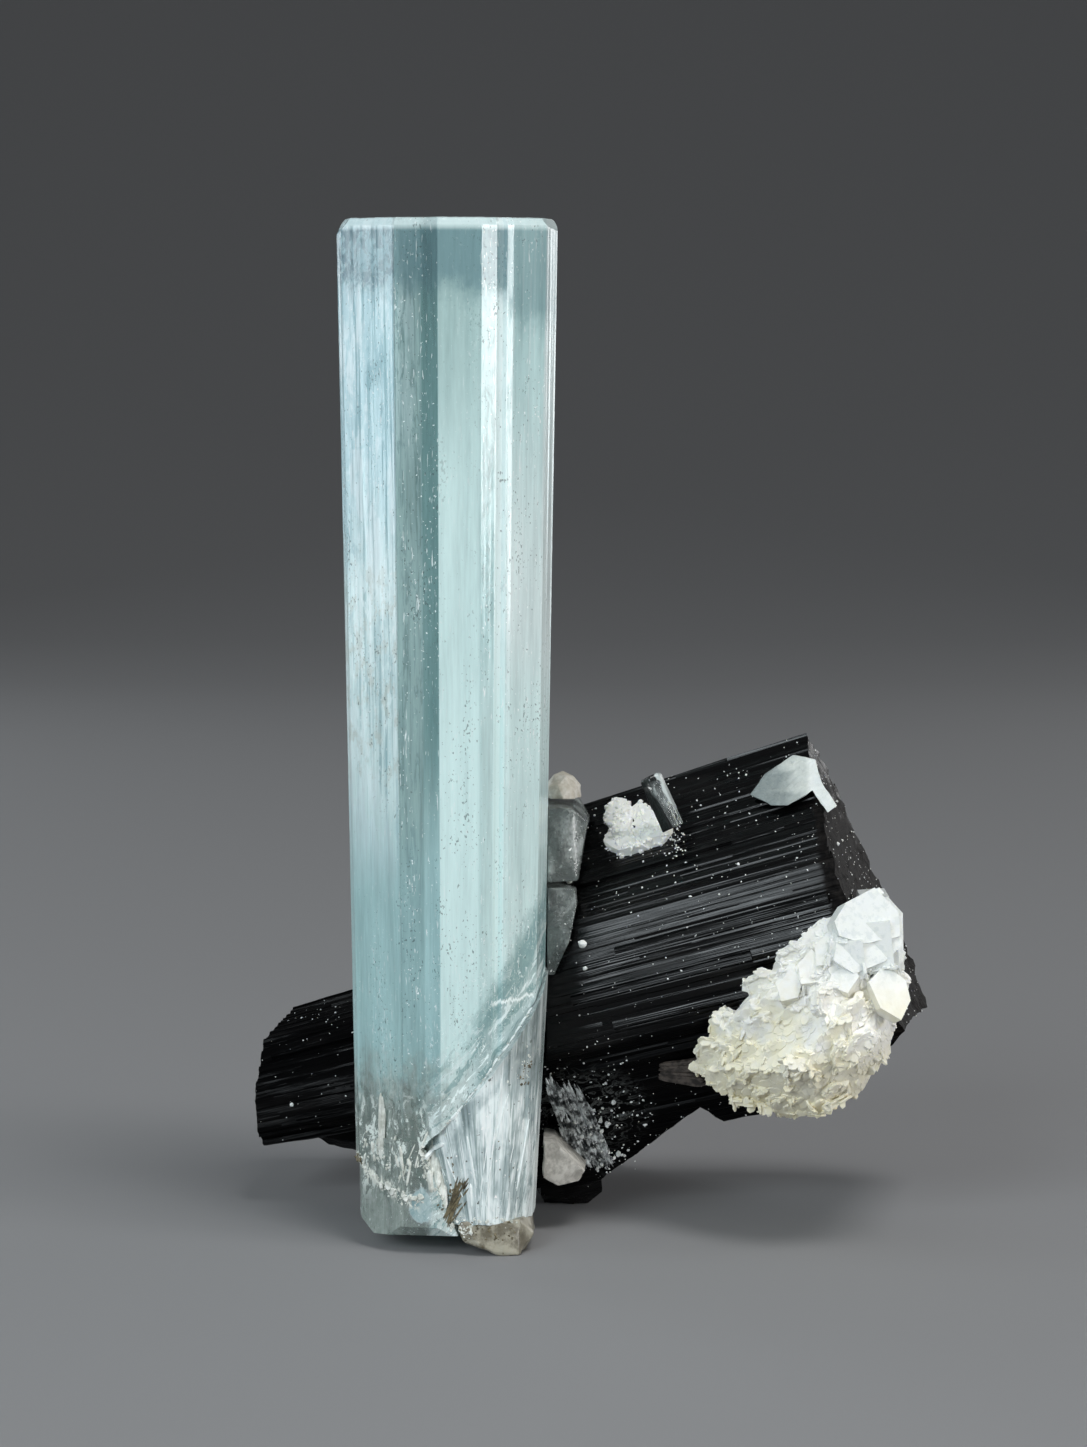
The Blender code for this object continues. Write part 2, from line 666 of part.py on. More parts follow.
def build_feldspar_matrix(look):
    body = add_object("feldspar_matrix", matrix_block(), look)
    cut(body, [schorl_cutter(), beryl_cutter(), schorl_foot(GAP)])


def build():
    for old in list(bpy.data.objects):
        bpy.data.objects.remove(old)
    base = bpy.data.objects.new(BASE, None)
    bpy.context.scene.collection.objects.link(base)
    base.location = FOOTPRINT_MIDDLE * -MM
    aquamarine = material("aquamarine", (0.55, 0.80, 0.82), 0.06, 0.9, 1.577)
    clear = material("clear_beryl", (0.80, 0.88, 0.88), 0.10, 0.9, 1.577)
    quartz = material("smoky_quartz", (0.42, 0.44, 0.43), 0.12, 0.85, 1.544)
    schorl = material("schorl", (0.012, 0.012, 0.014), 0.22)
    albite = material("albite", (0.80, 0.78, 0.70), 0.42)
    feldspar = material("feldspar", (0.58, 0.53, 0.45), 0.50)
    build_aquamarine(aquamarine)
    build_root_block(clear)
    build_foot_nub(feldspar)
    build_schorl(schorl)
    build_albite_cluster(albite)
    build_albite_plate(albite)
    build_albite_patch(albite)
    build_small_beryl(clear)
    build_quartz_blocks(quartz)
    build_feldspar_knob(feldspar)
    build_albite_crust(albite)
    build_feldspar_matrix(feldspar)


build()
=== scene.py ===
# %% [markdown]
# # An aquamarine prism on black tourmaline
#
# The specimen is a tall pale-blue beryl crystal that grew upright against a lying black
# tourmaline, which collectors call schorl. White albite, clear quartz and a little feldspar
# grew on both. Every piece keeps the place of a node in the imported model, and gets finer
# shapes and finishes here.
#
# This first cell loads the imported model.

# %% The imported model
import math
import random

import bpy
from mathutils import Matrix, Vector


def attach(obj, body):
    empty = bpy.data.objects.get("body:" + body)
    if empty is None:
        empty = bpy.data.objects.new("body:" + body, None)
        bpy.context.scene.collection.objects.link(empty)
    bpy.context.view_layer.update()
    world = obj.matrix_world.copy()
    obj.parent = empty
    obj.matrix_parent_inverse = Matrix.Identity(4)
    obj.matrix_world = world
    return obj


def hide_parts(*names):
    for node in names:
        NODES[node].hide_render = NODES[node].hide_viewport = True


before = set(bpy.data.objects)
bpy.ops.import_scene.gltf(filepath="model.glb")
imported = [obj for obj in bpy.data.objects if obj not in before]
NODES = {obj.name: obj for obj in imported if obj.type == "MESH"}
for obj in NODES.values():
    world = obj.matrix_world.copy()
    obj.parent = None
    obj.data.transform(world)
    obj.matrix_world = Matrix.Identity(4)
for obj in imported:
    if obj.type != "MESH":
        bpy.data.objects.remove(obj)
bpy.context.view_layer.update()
print("nodes:", ", ".join(sorted(NODES)))

# %% [markdown]
# Sizes below are in millimetres, measured from the foot of the aquamarine's own axis, because
# that crystal is the natural ruler of the specimen. `at` turns them into metres in the model's
# frame. The tourmaline has its own three directions: along its axis, up and across.

# %% Places and directions
MM = 0.001
BERYL_AXIS = Vector((-12.85, -11.55, 0.0))
RISE = math.radians(16.5)
SWING = math.radians(12.0)
SCHORL_CENTRE = Vector((15.8, 12.5, 22.9))
ALONG = Vector(
    (math.cos(RISE) * math.cos(SWING), -math.sin(SWING), math.sin(RISE) * math.cos(SWING))
).normalized()
ACROSS = Vector((math.sin(SWING), math.cos(SWING), 0.0))
UP = ALONG.cross(ACROSS)


def at(x, y, z):
    """The place in the model's frame, in metres, of a place given in millimetres."""
    return (BERYL_AXIS + Vector((x, y, z))) * MM


def on_schorl(along, up, across):
    """The same for a place measured along the tourmaline's own directions."""
    return at(*(SCHORL_CENTRE + ALONG * along + UP * up + ACROSS * across))


ORIGIN = at(0.0, 0.0, 0.0)
print("tourmaline axis", [round(part, 3) for part in ALONG])

# %% [markdown]
# The camera looks at the front of the specimen from 40 cm, about five degrees down, through a
# long lens, so upright edges stay almost parallel.

# %% Camera
CAMERA_SIDE = 8.26
CAMERA_DISTANCE = 400.0
CAMERA_HEIGHT = 82.0
AIM_HEIGHT = 45.9
FILM = 36.0
LENS = 4545.0 / 1447.0 * FILM

camera_data = bpy.data.cameras.new("camera")
camera_data.sensor_fit = "VERTICAL"
camera_data.sensor_height = FILM
camera_data.sensor_width = FILM
camera_data.lens = LENS
camera_data.clip_start = 0.01
camera_data.clip_end = 20.0
camera = bpy.data.objects.new("camera", camera_data)
camera.location = at(CAMERA_SIDE, -CAMERA_DISTANCE, CAMERA_HEIGHT)
camera_drop = math.atan2(CAMERA_HEIGHT - AIM_HEIGHT, CAMERA_DISTANCE)
camera.rotation_euler = (math.pi / 2.0 - camera_drop, 0.0, 0.0)
bpy.context.scene.collection.objects.link(camera)
bpy.context.scene.camera = camera
print("lens", round(LENS, 1), "mm")

# %% [markdown]
# A crystal is lit by large soft sources, because each flat face acts as a mirror and shows
# whatever it points at. A tall box on the left gives the broad shine on the left faces, a
# narrow one on the right draws the bright strip, and a wide one overhead fills in. The
# aquamarine's colours add painted light and shade on its faces, and painted highlight on
# that strip.

# %% Studio light


def soft_box(name, place, target, size, power, colour):
    """A rectangular lamp at the place, turned to the target. Lengths are in metres."""
    data = bpy.data.lights.new(name, "AREA")
    data.shape = "RECTANGLE"
    data.size = size[0]
    data.size_y = size[1]
    data.energy = power
    data.color = colour
    box = bpy.data.objects.new(name, data)
    box.location = place
    box.rotation_euler = (Vector(target) - Vector(place)).to_track_quat("-Z", "Z").to_euler()
    bpy.context.scene.collection.objects.link(box)


COOL = (0.90, 0.96, 1.0)
BLUISH = (0.86, 0.95, 1.0)
NEUTRAL = (1.0, 1.0, 1.0)
SPECIMEN = (-0.005, -0.01, 0.045)
soft_box("left_box", (-0.52, -0.03, 0.006), SPECIMEN, (0.50, 0.17), 1.1, COOL)
soft_box("right_box", (0.44, -0.25, 0.12), SPECIMEN, (0.20, 0.18), 1.1, NEUTRAL)
soft_box("sheen_box", (-0.35, -0.62, 0.30), SPECIMEN, (0.42, 0.24), 2.9, BLUISH)
soft_box("top_box", (0.16, -0.30, 0.72), SPECIMEN, (0.24, 0.24), 2.2, NEUTRAL)
soft_box("left_rim_box", (-0.44, 0.46, 0.14), SPECIMEN, (0.30, 0.24), 0.9, COOL)
soft_box("right_rim_box", (0.44, 0.52, 0.14), SPECIMEN, (0.28, 0.24), 0.6, NEUTRAL)

ROOM_COLOUR = (0.30, 0.31, 0.32)
ROOM_STRENGTH = 0.40
world = bpy.data.worlds.new("studio")
world.use_nodes = True
background = world.node_tree.nodes["Background"]
background.inputs["Color"].default_value = (*ROOM_COLOUR, 1.0)
background.inputs["Strength"].default_value = ROOM_STRENGTH
bpy.context.scene.world = world
bpy.context.scene.view_settings.view_transform = "Standard"

# %% [markdown]
# Shader maths reads best as ordinary arithmetic. `Value` wraps one socket, and each operator on
# it adds a Math node. `Look` is a material being made, and its `add` makes any other node. A
# colour is red, green and blue, and lengths in a material are in millimetres.

# %% Materials as expressions


class Value:
    def __init__(self, look, socket):
        self.look = look
        self.socket = socket

    def maths(self, operation, first, second=0.0):
        return self.look.add("ShaderNodeMath", {"operation": operation}, {0: first, 1: second})

    def __add__(self, other):
        return self.maths("ADD", self, other)

    __radd__ = __add__

    def __sub__(self, other):
        return self.maths("SUBTRACT", self, other)

    def __rsub__(self, other):
        return self.maths("SUBTRACT", other, self)

    def __mul__(self, other):
        return self.maths("MULTIPLY", self, other)

    __rmul__ = __mul__

    def __pow__(self, other):
        return self.maths("POWER", self, other)

    def __abs__(self):
        return self.maths("ABSOLUTE", self)

    def most(self, other):
        return self.maths("MAXIMUM", self, other)

    def between(self, low, high, to_low=0.0, to_high=1.0):
        """This value's place between low and high, as a smooth step from to_low to to_high."""
        return self.look.add(
            "ShaderNodeMapRange",
            {"interpolation_type": "SMOOTHSTEP"},
            {0: self, 1: low, 2: high, 3: to_low, 4: to_high},
        )


class Look:
    def __init__(self, name):
        self.material = bpy.data.materials.new(name)
        self.material.use_nodes = True
        self.tree = self.material.node_tree
        self.tree.nodes.clear()
        self.place = self.add("ShaderNodeTexCoord", output="Object")

    def add(self, kind, settings=None, inputs=None, output=0):
        node = self.tree.nodes.new(kind)
        for name, value in (settings or {}).items():
            setattr(node, name, value)
        for name, value in (inputs or {}).items():
            socket = node.inputs[name]
            if isinstance(value, Value):
                self.tree.links.new(value.socket, socket)
            elif socket.type == "RGBA":
                socket.default_value = (*value, 1.0)
            else:
                socket.default_value = value
        return Value(self, node.outputs[output])

    def part(self, direction, centre):
        """Distance from the centre, measured along the direction."""
        moved = self.add(
            "ShaderNodeVectorMath", {"operation": "SUBTRACT"}, {0: self.place, 1: centre}
        )
        scaled = tuple(component / MM for component in direction)
        return self.add(
            "ShaderNodeVectorMath", {"operation": "DOT_PRODUCT"}, {0: moved, 1: scaled}, "Value"
        )

    def parts(self, directions, centre):
        return tuple(self.part(direction, centre) for direction in directions)

    def noise(self, place, repeats, detail, roughness, distortion=0.0):
        """A noise of the place, repeating so many times in a millimetre each way."""
        scaled = {way: place[way] * repeats[way] for way in range(3)}
        vector = self.add("ShaderNodeCombineXYZ", {}, scaled)
        return self.add(
            "ShaderNodeTexNoise",
            {},
            {
                "Vector": vector,
                "Scale": 1.0,
                "Detail": detail,
                "Roughness": roughness,
                "Distortion": distortion,
            },
        )

    def blend(self, share, first, second):
        return self.add(
            "ShaderNodeMix", {"data_type": "RGBA"}, {0: share, 6: first, 7: second}, 2
        )

    def layered(self, colour, layers):
        """The colour with others laid over it in turn, each a (share, colour) pair."""
        for share, other in layers:
            colour = self.blend(share, colour, other)
        return colour

    def bump(self, height, distance, strength):
        return self.add(
            "ShaderNodeBump", {}, {"Height": height, "Distance": distance, "Strength": strength}
        )

    def shader(self, inputs):
        return self.add("ShaderNodeBsdfPrincipled", {}, inputs)

    def shared(self, share, first, second):
        """Two shaders in one: the first where the share is 0, the second where it is 1."""
        return self.add("ShaderNodeMixShader", {}, {0: share, 1: first, 2: second})

    def stone(self, share, ior, normal, clear, milky):
        """A stone with a share of milk in it. Its clear and its milky part are each given as
        (colour, roughness)."""
        parts = [
            self.shader(
                {
                    "Base Color": colour,
                    "Roughness": roughness,
                    "IOR": ior,
                    "Transmission Weight": clearness,
                    "Normal": normal,
                }
            )
            for (colour, roughness), clearness in ((clear, 1.0), (milky, 0.0))
        ]
        return self.shared(share, *parts)

    def pearly(self, colour, roughness, glow, depths, normal):
        """A skin that light enters a little. The depths are those of red, green and blue."""
        return self.shader(
            {
                "Base Color": colour,
                "Roughness": roughness,
                "Subsurface Weight": glow,
                "Subsurface Radius": depths,
                "Normal": normal,
            }
        )

    def finish(self, surface, volume=None):
        output = self.tree.nodes.new("ShaderNodeOutputMaterial")
        self.tree.links.new(surface.socket, output.inputs["Surface"])
        if volume:
            self.tree.links.new(volume.socket, output.inputs["Volume"])
        return self.material


print("expressions ready")

# %% [markdown]
# The floor is a plain pale sheet that curves up behind the specimen, so no edge shows behind
# the clear crystal.

# %% Floor
PAPER_COLOUR = (0.26, 0.26, 0.265)
FLOOR_WIDTH = 4.0
FLOOR_FRONT = -1.6
FLOOR_BACK = 2.0
WALL_TOP = 2.2
COVE = 1.4


def active_piece():
    return bpy.context.active_object


def nothing_selected():
    if bpy.context.mode != "OBJECT":
        bpy.ops.object.mode_set(mode="OBJECT")
    bpy.ops.object.select_all(action="DESELECT")


def only_selected(pieces):
    """Selects these pieces and no others, and makes the first one active."""
    nothing_selected()
    for piece in pieces:
        piece.select_set(True)
    bpy.context.view_layer.objects.active = pieces[0]


def select_in(piece, kind, wanted):
    """Selects the vertices, edges or faces that are wanted, from inside edit mode."""
    bpy.ops.mesh.select_all(action="DESELECT")
    bpy.ops.object.mode_set(mode="OBJECT")
    for item in getattr(piece.data, kind):
        item.select = wanted(item)
    bpy.ops.object.mode_set(mode="EDIT")


nothing_selected()
bpy.ops.mesh.primitive_plane_add(size=1.0, location=(0.0, 0.0, 0.0))
floor = active_piece()
floor.name = "floor"
for corner in floor.data.vertices:
    corner.co.x *= FLOOR_WIDTH
    corner.co.y = FLOOR_FRONT if corner.co.y < 0.0 else FLOOR_BACK
back_edge = {corner.index for corner in floor.data.vertices if corner.co.y > 0.0}
bpy.ops.object.mode_set(mode="EDIT")
bpy.ops.mesh.select_mode(type="EDGE")
select_in(floor, "edges", lambda edge: set(edge.vertices) <= back_edge)
bpy.ops.mesh.extrude_region_move(TRANSFORM_OT_translate={"value": (0.0, 0.0, WALL_TOP)})
select_in(floor, "edges", lambda edge: set(edge.vertices) <= back_edge)
bpy.ops.mesh.bevel(offset=COVE, segments=24)
bpy.ops.object.mode_set(mode="OBJECT")
bpy.ops.object.shade_smooth()
look = Look("floor_paper")
paper = look.shader({"Base Color": PAPER_COLOUR, "Roughness": 0.85})
floor.data.materials.append(look.finish(paper))
print("floor faces", len(floor.data.polygons))

# %% [markdown]
# A crystal face is flat, but seen closely it is a bundle of fine ribs along the growth
# direction, and its corners are slightly worn. So each crystal starts from its outline, cut
# into many short sides, and is drawn out straight. A Displace modifier then pushes the skin
# in and out by a noise that an Empty stretches along the growth direction. Last, the whole
# is tapered, so the ribs run together a little towards the narrow end, as real ones do.

# %% Outlines, cuts and grain


def edit(piece):
    """Opens the piece in edit mode with all its vertices selected."""
    only_selected([piece])
    bpy.ops.object.mode_set(mode="EDIT")
    bpy.ops.mesh.select_mode(type="VERT")
    bpy.ops.mesh.select_all(action="SELECT")


def outline(name, corners, pitch):
    """A flat face with these corners, in metres, its sides cut into pieces of about the pitch."""
    nothing_selected()
    bpy.ops.mesh.primitive_circle_add(vertices=len(corners), radius=1.0, fill_type="NGON")
    piece = active_piece()
    piece.name = name
    piece.data.name = name
    for vertex, corner in zip(piece.data.vertices, corners):
        vertex.co = corner
    edit(piece)
    bpy.ops.mesh.select_mode(type="EDGE")
    ends = [(Vector(a), Vector(b)) for a, b in zip(corners, corners[1:] + corners[:1])]
    for start, end in ends:
        cuts = round((end - start).length / pitch) - 1
        if cuts < 1:
            continue
        middle = (start + end) / 2.0

        def is_side(edge):
            a, b = (piece.data.vertices[index].co for index in edge.vertices)
            return ((a + b) / 2.0 - middle).length < pitch * 0.01

        select_in(piece, "edges", is_side)
        bpy.ops.mesh.subdivide(number_cuts=cuts)
    bpy.ops.mesh.select_all(action="SELECT")
    return piece


def draw_out(steps, centre):
    """Extrudes the selected outline step by step: each step is (movement, growth)."""
    for movement, growth in steps:
        bpy.ops.mesh.extrude_region_move(TRANSFORM_OT_translate={"value": movement})
        centre = centre + movement
        bpy.ops.transform.resize(value=(growth, growth, growth), center_override=centre)
    bpy.ops.mesh.select_all(action="SELECT")
    bpy.ops.mesh.normals_make_consistent(inside=False)
    bpy.ops.object.mode_set(mode="OBJECT")


def taper(piece, origin, direction, rate):
    """Widens the piece away from the line through the origin, by the rate per millimetre."""
    for vertex in piece.data.vertices:
        offset = vertex.co - origin
        along = offset.dot(direction)
        aside = offset - direction * along
        vertex.co += aside * rate * along / MM


def bisect(place, normal, clear=False):
    """Cuts all that is open in edit mode with a plane, and may take away its outer side."""
    bpy.ops.mesh.select_all(action="SELECT")
    bpy.ops.mesh.bisect(
        plane_co=place, plane_no=normal, clear_outer=clear, use_fill=clear, threshold=1e-7
    )


def trim(piece, planes):
    """Takes off what lies outside each (place, normal) plane, and closes the cuts flat."""
    edit(piece)
    for place, normal in planes:
        bisect(place, normal, clear=True)
    bpy.ops.object.mode_set(mode="OBJECT")


def dice(piece, directions, pitch):
    """Cuts the whole skin with parallel planes along each direction."""
    corners = [vertex.co for vertex in piece.data.vertices]
    edit(piece)
    for direction in directions:
        places = [corner.dot(direction) for corner in corners]
        count = int((max(places) - min(places)) / (pitch * MM))
        for index in range(1, count + 1):
            bisect(direction * (min(places) + index * pitch * MM), direction)
    bpy.ops.object.mode_set(mode="OBJECT")


def apply_modifiers(piece):
    """Makes what the piece's modifiers do part of its mesh."""
    only_selected([piece])
    for modifier in list(piece.modifiers):
        bpy.ops.object.modifier_apply(modifier=modifier.name)


def grain(piece, directions, sizes, strength, basis="BLENDER_ORIGINAL", depth=2):
    """Pushes the skin in and out by a noise with the given size along each direction."""
    texture = bpy.data.textures.new(f"{piece.name} grain", "CLOUDS")
    texture.noise_basis = basis
    texture.noise_scale = 1.0
    texture.noise_depth = depth
    stretch = bpy.data.objects.new("stretch", None)
    steps = [direction * size * MM for direction, size in zip(directions, sizes)]
    stretch.matrix_world = Matrix(steps).transposed().to_4x4()
    stretch.location = sum(steps, Vector()) * -0.5
    bpy.context.scene.collection.objects.link(stretch)
    bpy.context.view_layer.update()
    modifier = piece.modifiers.new("grain", "DISPLACE")
    modifier.texture = texture
    modifier.texture_coords = "OBJECT"
    modifier.texture_coords_object = stretch
    modifier.strength = strength * MM
    modifier.mid_level = 0.5
    apply_modifiers(piece)
    bpy.data.objects.remove(stretch)


def boolean(piece, others, operation):
    """Joins the other shapes to the piece, or cuts them from it, all at once."""
    group = bpy.data.collections.new("tools")
    for other in others:
        group.objects.link(other)
    modifier = piece.modifiers.new(operation.lower(), "BOOLEAN")
    modifier.operation = operation
    modifier.operand_type = "COLLECTION"
    modifier.collection = group
    modifier.solver = "MANIFOLD"
    apply_modifiers(piece)
    for other in others:
        bpy.data.objects.remove(other)
    bpy.data.collections.remove(group)


def rough_cutter(place, normal, reach, pitch, directions, sizes, strength):
    """A block with one rough side, to break a piece across with. Its rough side passes through
    the place, and the block lies where the normal points."""
    nothing_selected()
    count = round(2.0 * reach / pitch)
    bpy.ops.mesh.primitive_grid_add(
        x_subdivisions=count, y_subdivisions=count, size=2.0 * reach * MM
    )
    piece = active_piece()
    piece.name = "rough cutter"
    normal = Vector(normal).normalized()
    turn = normal.to_track_quat("Z", "Y").to_matrix().to_4x4()
    piece.data.transform(Matrix.Translation(place) @ turn)
    grain(piece, directions, sizes, strength, depth=3)
    edit(piece)
    draw_out([(normal * 2.0 * reach * MM, 1.0)], Vector(place))
    return piece


def smooth_to(piece, degrees):
    """Shades smooth, but for the edges that turn by more than the angle."""
    only_selected([piece])
    bpy.ops.object.shade_smooth_by_angle(angle=math.radians(degrees))


def joined(pieces, name):
    """One piece of this name, made of them all."""
    only_selected(pieces)
    bpy.ops.object.join()
    pieces[0].name = name
    return pieces[0]


def dress(piece, material):
    """Gives the piece this finish and no other."""
    piece.data.materials.clear()
    piece.data.materials.append(material)


UPRIGHT = (Vector((1.0, 0.0, 0.0)), Vector((0.0, 1.0, 0.0)), Vector((0.0, 0.0, 1.0)))
GROWTH = (ALONG, UP, ACROSS)
print("shaping tools ready")

# %% [markdown]
# The aquamarine is beryl, so it is a six-sided prism whose corners are cut by narrow extra
# faces. It is drawn out from a twenty-cornered outline, and its worn rim is three short steps.

# %% Aquamarine prism
HEIGHT = 90.2
NARROWING = 0.00176
BERYL_SECTION = [
    (-0.75, -10.6), (-1.8, -9.95), (-4.55, -9.25), (-4.8, -8.8), (-9.3, -4.6), (-9.75, -3.0),
    (-9.45, 2.4), (-7.2, 6.6), (-3.0, 9.4), (2.2, 10.2), (6.6, 7.9), (9.3, 3.4), (9.5, -1.8),
    (8.65, -5.0), (5.75, -7.85), (5.2, -8.15), (4.85, -8.0), (4.5, -8.3), (4.3, -8.8),
    (3.0, -9.6),
]
BERYL_PITCH = 0.2
BERYL_FOOT = -3.0
RIM = ((89.55, 1.0), (89.9, 0.986), (90.12, 0.968), (90.2, 0.95))


def stations(first, places):
    """Extrusion steps straight up through the (height, width) places."""
    steps = []
    before = (first, 1.0)
    for place in places:
        steps.append((Vector((0.0, 0.0, (place[0] - before[0]) * MM)), place[1] / before[1]))
        before = place
    return steps


aquamarine = outline(
    "aquamarine", [at(x, y, BERYL_FOOT) for x, y in BERYL_SECTION], BERYL_PITCH * MM
)
draw_out(
    stations(BERYL_FOOT, [(z, 1.0) for z in range(1, 89, 4)] + list(RIM)),
    at(0.0, 0.0, BERYL_FOOT),
)
trim(
    aquamarine,
    [
        (at(-9.2, -3.0, 89.5), Vector((-0.8, -0.1, 0.6))),
        (at(9.0, -3.0, 89.5), Vector((0.8, -0.15, 0.6))),
    ],
)
grain(aquamarine, UPRIGHT, (0.6, 0.6, 300.0), 0.06, depth=2)
grain(aquamarine, UPRIGHT, (1.4, 1.4, 26.0), 0.07, depth=1)
taper(aquamarine, at(0.0, 0.0, HEIGHT), UPRIGHT[2], NARROWING)
print("aquamarine faces", len(aquamarine.data.polygons))

# %% [markdown]
# The foot of the prism is broken. Three uneven breaks take its end off, a narrower clear stub
# stands below that ledge, and an inclined break runs up to the right, under which another
# block of beryl sits. A break is a cut by a block with one rough side.

# %% Broken root of the aquamarine
BREAK_POINT = (-2.4, -9.0, 9.2)
BREAK_NORMAL = Vector((-11.9, -4.36, 10.9)).normalized()
SPLIT_NORMAL = Vector((-7.0, 1.05, -2.9)).normalized()
STUB_SECTION = [
    (-8.0, -2.6), (-7.75, -4.4), (-4.3, -8.1), (-1.0, -8.9), (1.9, -8.2), (3.4, -5.0),
    (3.2, 4.0), (0.5, 7.6), (-3.4, 7.6), (-6.6, 4.8),
]
STUB_FOOT = -1.0
STUB_TOP = 10.0
LEDGE_BREAKS = (
    ((-8.0, -5.0, 7.6), (-0.5, -0.15, -1.0), 2.0, 1.0),
    ((-4.0, -9.0, 4.9), (-0.2, -0.55, -1.0), 1.8, 1.1),
    ((-3.0, 6.0, 4.0), (-0.45, 0.5, -1.0), 2.0, 1.0),
)
WEDGE_SIZE = 80.0


def block(name, size, place):
    """A cube of this size round the place."""
    nothing_selected()
    bpy.ops.mesh.primitive_cube_add(size=size * MM, location=place)
    piece = active_piece()
    piece.name = name
    bpy.ops.object.transform_apply(location=True, rotation=True, scale=True)
    return piece


boolean(
    aquamarine,
    [
        rough_cutter(at(*place), normal, 24.0, 0.5, UPRIGHT, (size, size, size), strength)
        for place, normal, size, strength in LEDGE_BREAKS
    ],
    "DIFFERENCE",
)
stub = outline("stub", [at(x, y, STUB_FOOT) for x, y in STUB_SECTION], 0.3 * MM)
draw_out(
    stations(STUB_FOOT, [(z, 1.0) for z in range(0, int(STUB_TOP) + 1, 2)]),
    at(0.0, 0.0, STUB_FOOT),
)
grain(stub, UPRIGHT, (1.2, 1.2, 7.0), 0.12)
trim(
    stub,
    [
        (at(0.0, 7.6, 0.0), Vector((0.0, -0.105, -1.0))),
        (at(-7.7, -4.0, 2.4), Vector((-0.78, -0.1, -0.62))),
        (at(-4.0, -8.2, 2.5), Vector((-0.2, -0.85, -0.75))),
    ],
)
boolean(aquamarine, [stub], "UNION")
wedge = block("wedge", WEDGE_SIZE, ORIGIN)
trim(wedge, [(at(*BREAK_POINT), BREAK_NORMAL), (at(*BREAK_POINT), SPLIT_NORMAL)])
boolean(aquamarine, [wedge], "DIFFERENCE")
smooth_to(aquamarine, 9.0)
print("aquamarine faces", len(aquamarine.data.polygons))

# %% [markdown]
# Under the inclined break sits a block of colourless beryl whose ribs fan out upwards. It is
# drawn out straight from its top outline, then narrowed towards its foot, most in width.

# %% Clear root block
ROOT_FOOT = 2.7
ROOT_TOP = 24.0
ROOT_SECTION = [
    (-4.2, -6.8), (-2.0, -8.9), (1.6, -9.5), (5.2, -8.4), (7.4, -6.2), (8.3, -4.4),
    (8.6, -1.6), (8.3, 2.6), (5.8, 6.6), (1.4, 8.4), (-3.6, 5.0),
]
ROOT_STEP = 2.0
ROOT_STEPS = 11
ROOT_FAN = at(5.2, -0.9, ROOT_TOP)
ROOT_SLIMMING = (0.0154, 0.0034)
CONTACT = 0.06

root_block = outline("root_block", [at(x, y, ROOT_TOP) for x, y in ROOT_SECTION], 0.16 * MM)
draw_out([(-UPRIGHT[2] * ROOT_STEP * MM, 1.0)] * ROOT_STEPS, at(0.0, 0.0, ROOT_TOP))
grain(root_block, UPRIGHT, (2.4, 2.4, 400.0), 0.2, "CELL_NOISE", 1)
grain(root_block, UPRIGHT, (1.3, 1.3, 25.0), 0.08, depth=1)
for vertex in root_block.data.vertices:
    drop = (ROOT_TOP * MM - vertex.co.z) / MM
    for axis in (0, 1):
        vertex.co[axis] += (ROOT_FAN[axis] - vertex.co[axis]) * ROOT_SLIMMING[axis] * drop
trim(
    root_block,
    [
        (at(*BREAK_POINT) - BREAK_NORMAL * CONTACT * MM, BREAK_NORMAL),
        (at(*BREAK_POINT) - SPLIT_NORMAL * CONTACT * MM, SPLIT_NORMAL),
    ],
)
boolean(
    root_block,
    [
        rough_cutter(
            at(3.0, -4.0, ROOT_FOOT), -UPRIGHT[2], 16.0, 0.4, UPRIGHT, (1.6, 1.6, 1.6), 0.9
        )
    ],
    "DIFFERENCE",
)
smooth_to(root_block, 16.0)
print("root block faces", len(root_block.data.polygons))

# %% [markdown]
# Schorl is a three-sided prism with bulging, deeply striated faces: parallel ridges and
# furrows run the whole length. Its outline is cut finely, so that a cell noise, which is flat
# in each cell and jumps between them, can leave real steps. A smooth noise adds soft waves.

# %% Tourmaline prism
SCHORL_SECTION = [
    (14.8, 1.0), (11.6, -3.2), (5.0, -11.0), (-1.2, -12.4), (-5.6, -11.2), (-13.0, -5.8),
    (-19.0, -1.0), (-17.6, 6.0), (-12.0, 11.5), (-5.0, 13.0), (4.0, 9.0), (12.8, 4.2),
]
SPUR_SECTION = [
    (2.4, 2.5), (1.8, -2.6), (-0.4, -4.6), (-2.8, -7.0), (-6.8, -7.2), (-8.5, -5.2),
    (-9.6, 4.0), (-8.6, 13.0), (-3.6, 16.0), (1.4, 14.0), (3.2, 9.0),
]
FLARE = 0.0029
SPUR_FLARE = 0.0087
SCHORL_PITCH = 0.13
SCHORL_LEFT = -19.5
SCHORL_RIGHT = 23.6
SCHORL_MIDDLE = on_schorl(0.0, 0.0, 0.0)


def schorl_prism(name, section, first, last, step, pitch):
    """A section drawn out straight along the tourmaline's axis."""
    piece = outline(name, [on_schorl(first, up, across) for up, across in section], pitch * MM)
    count = round((last - first) / step)
    draw_out([(ALONG * step * MM, 1.0)] * count, on_schorl(first, 0.0, 0.0))
    return piece


schorl = schorl_prism("schorl", SCHORL_SECTION, -26.0, 29.0, 5.0, SCHORL_PITCH)
grain(schorl, GROWTH, (900.0, 1.1, 1.1), 0.36, "CELL_NOISE", 1)
grain(schorl, GROWTH, (900.0, 0.4, 0.4), 0.14, "BLENDER_ORIGINAL", 1)
grain(schorl, GROWTH, (60.0, 2.6, 2.6), 0.35, "BLENDER_ORIGINAL", 1)
taper(schorl, SCHORL_MIDDLE, ALONG, FLARE)
print("tourmaline faces", len(schorl.data.polygons))

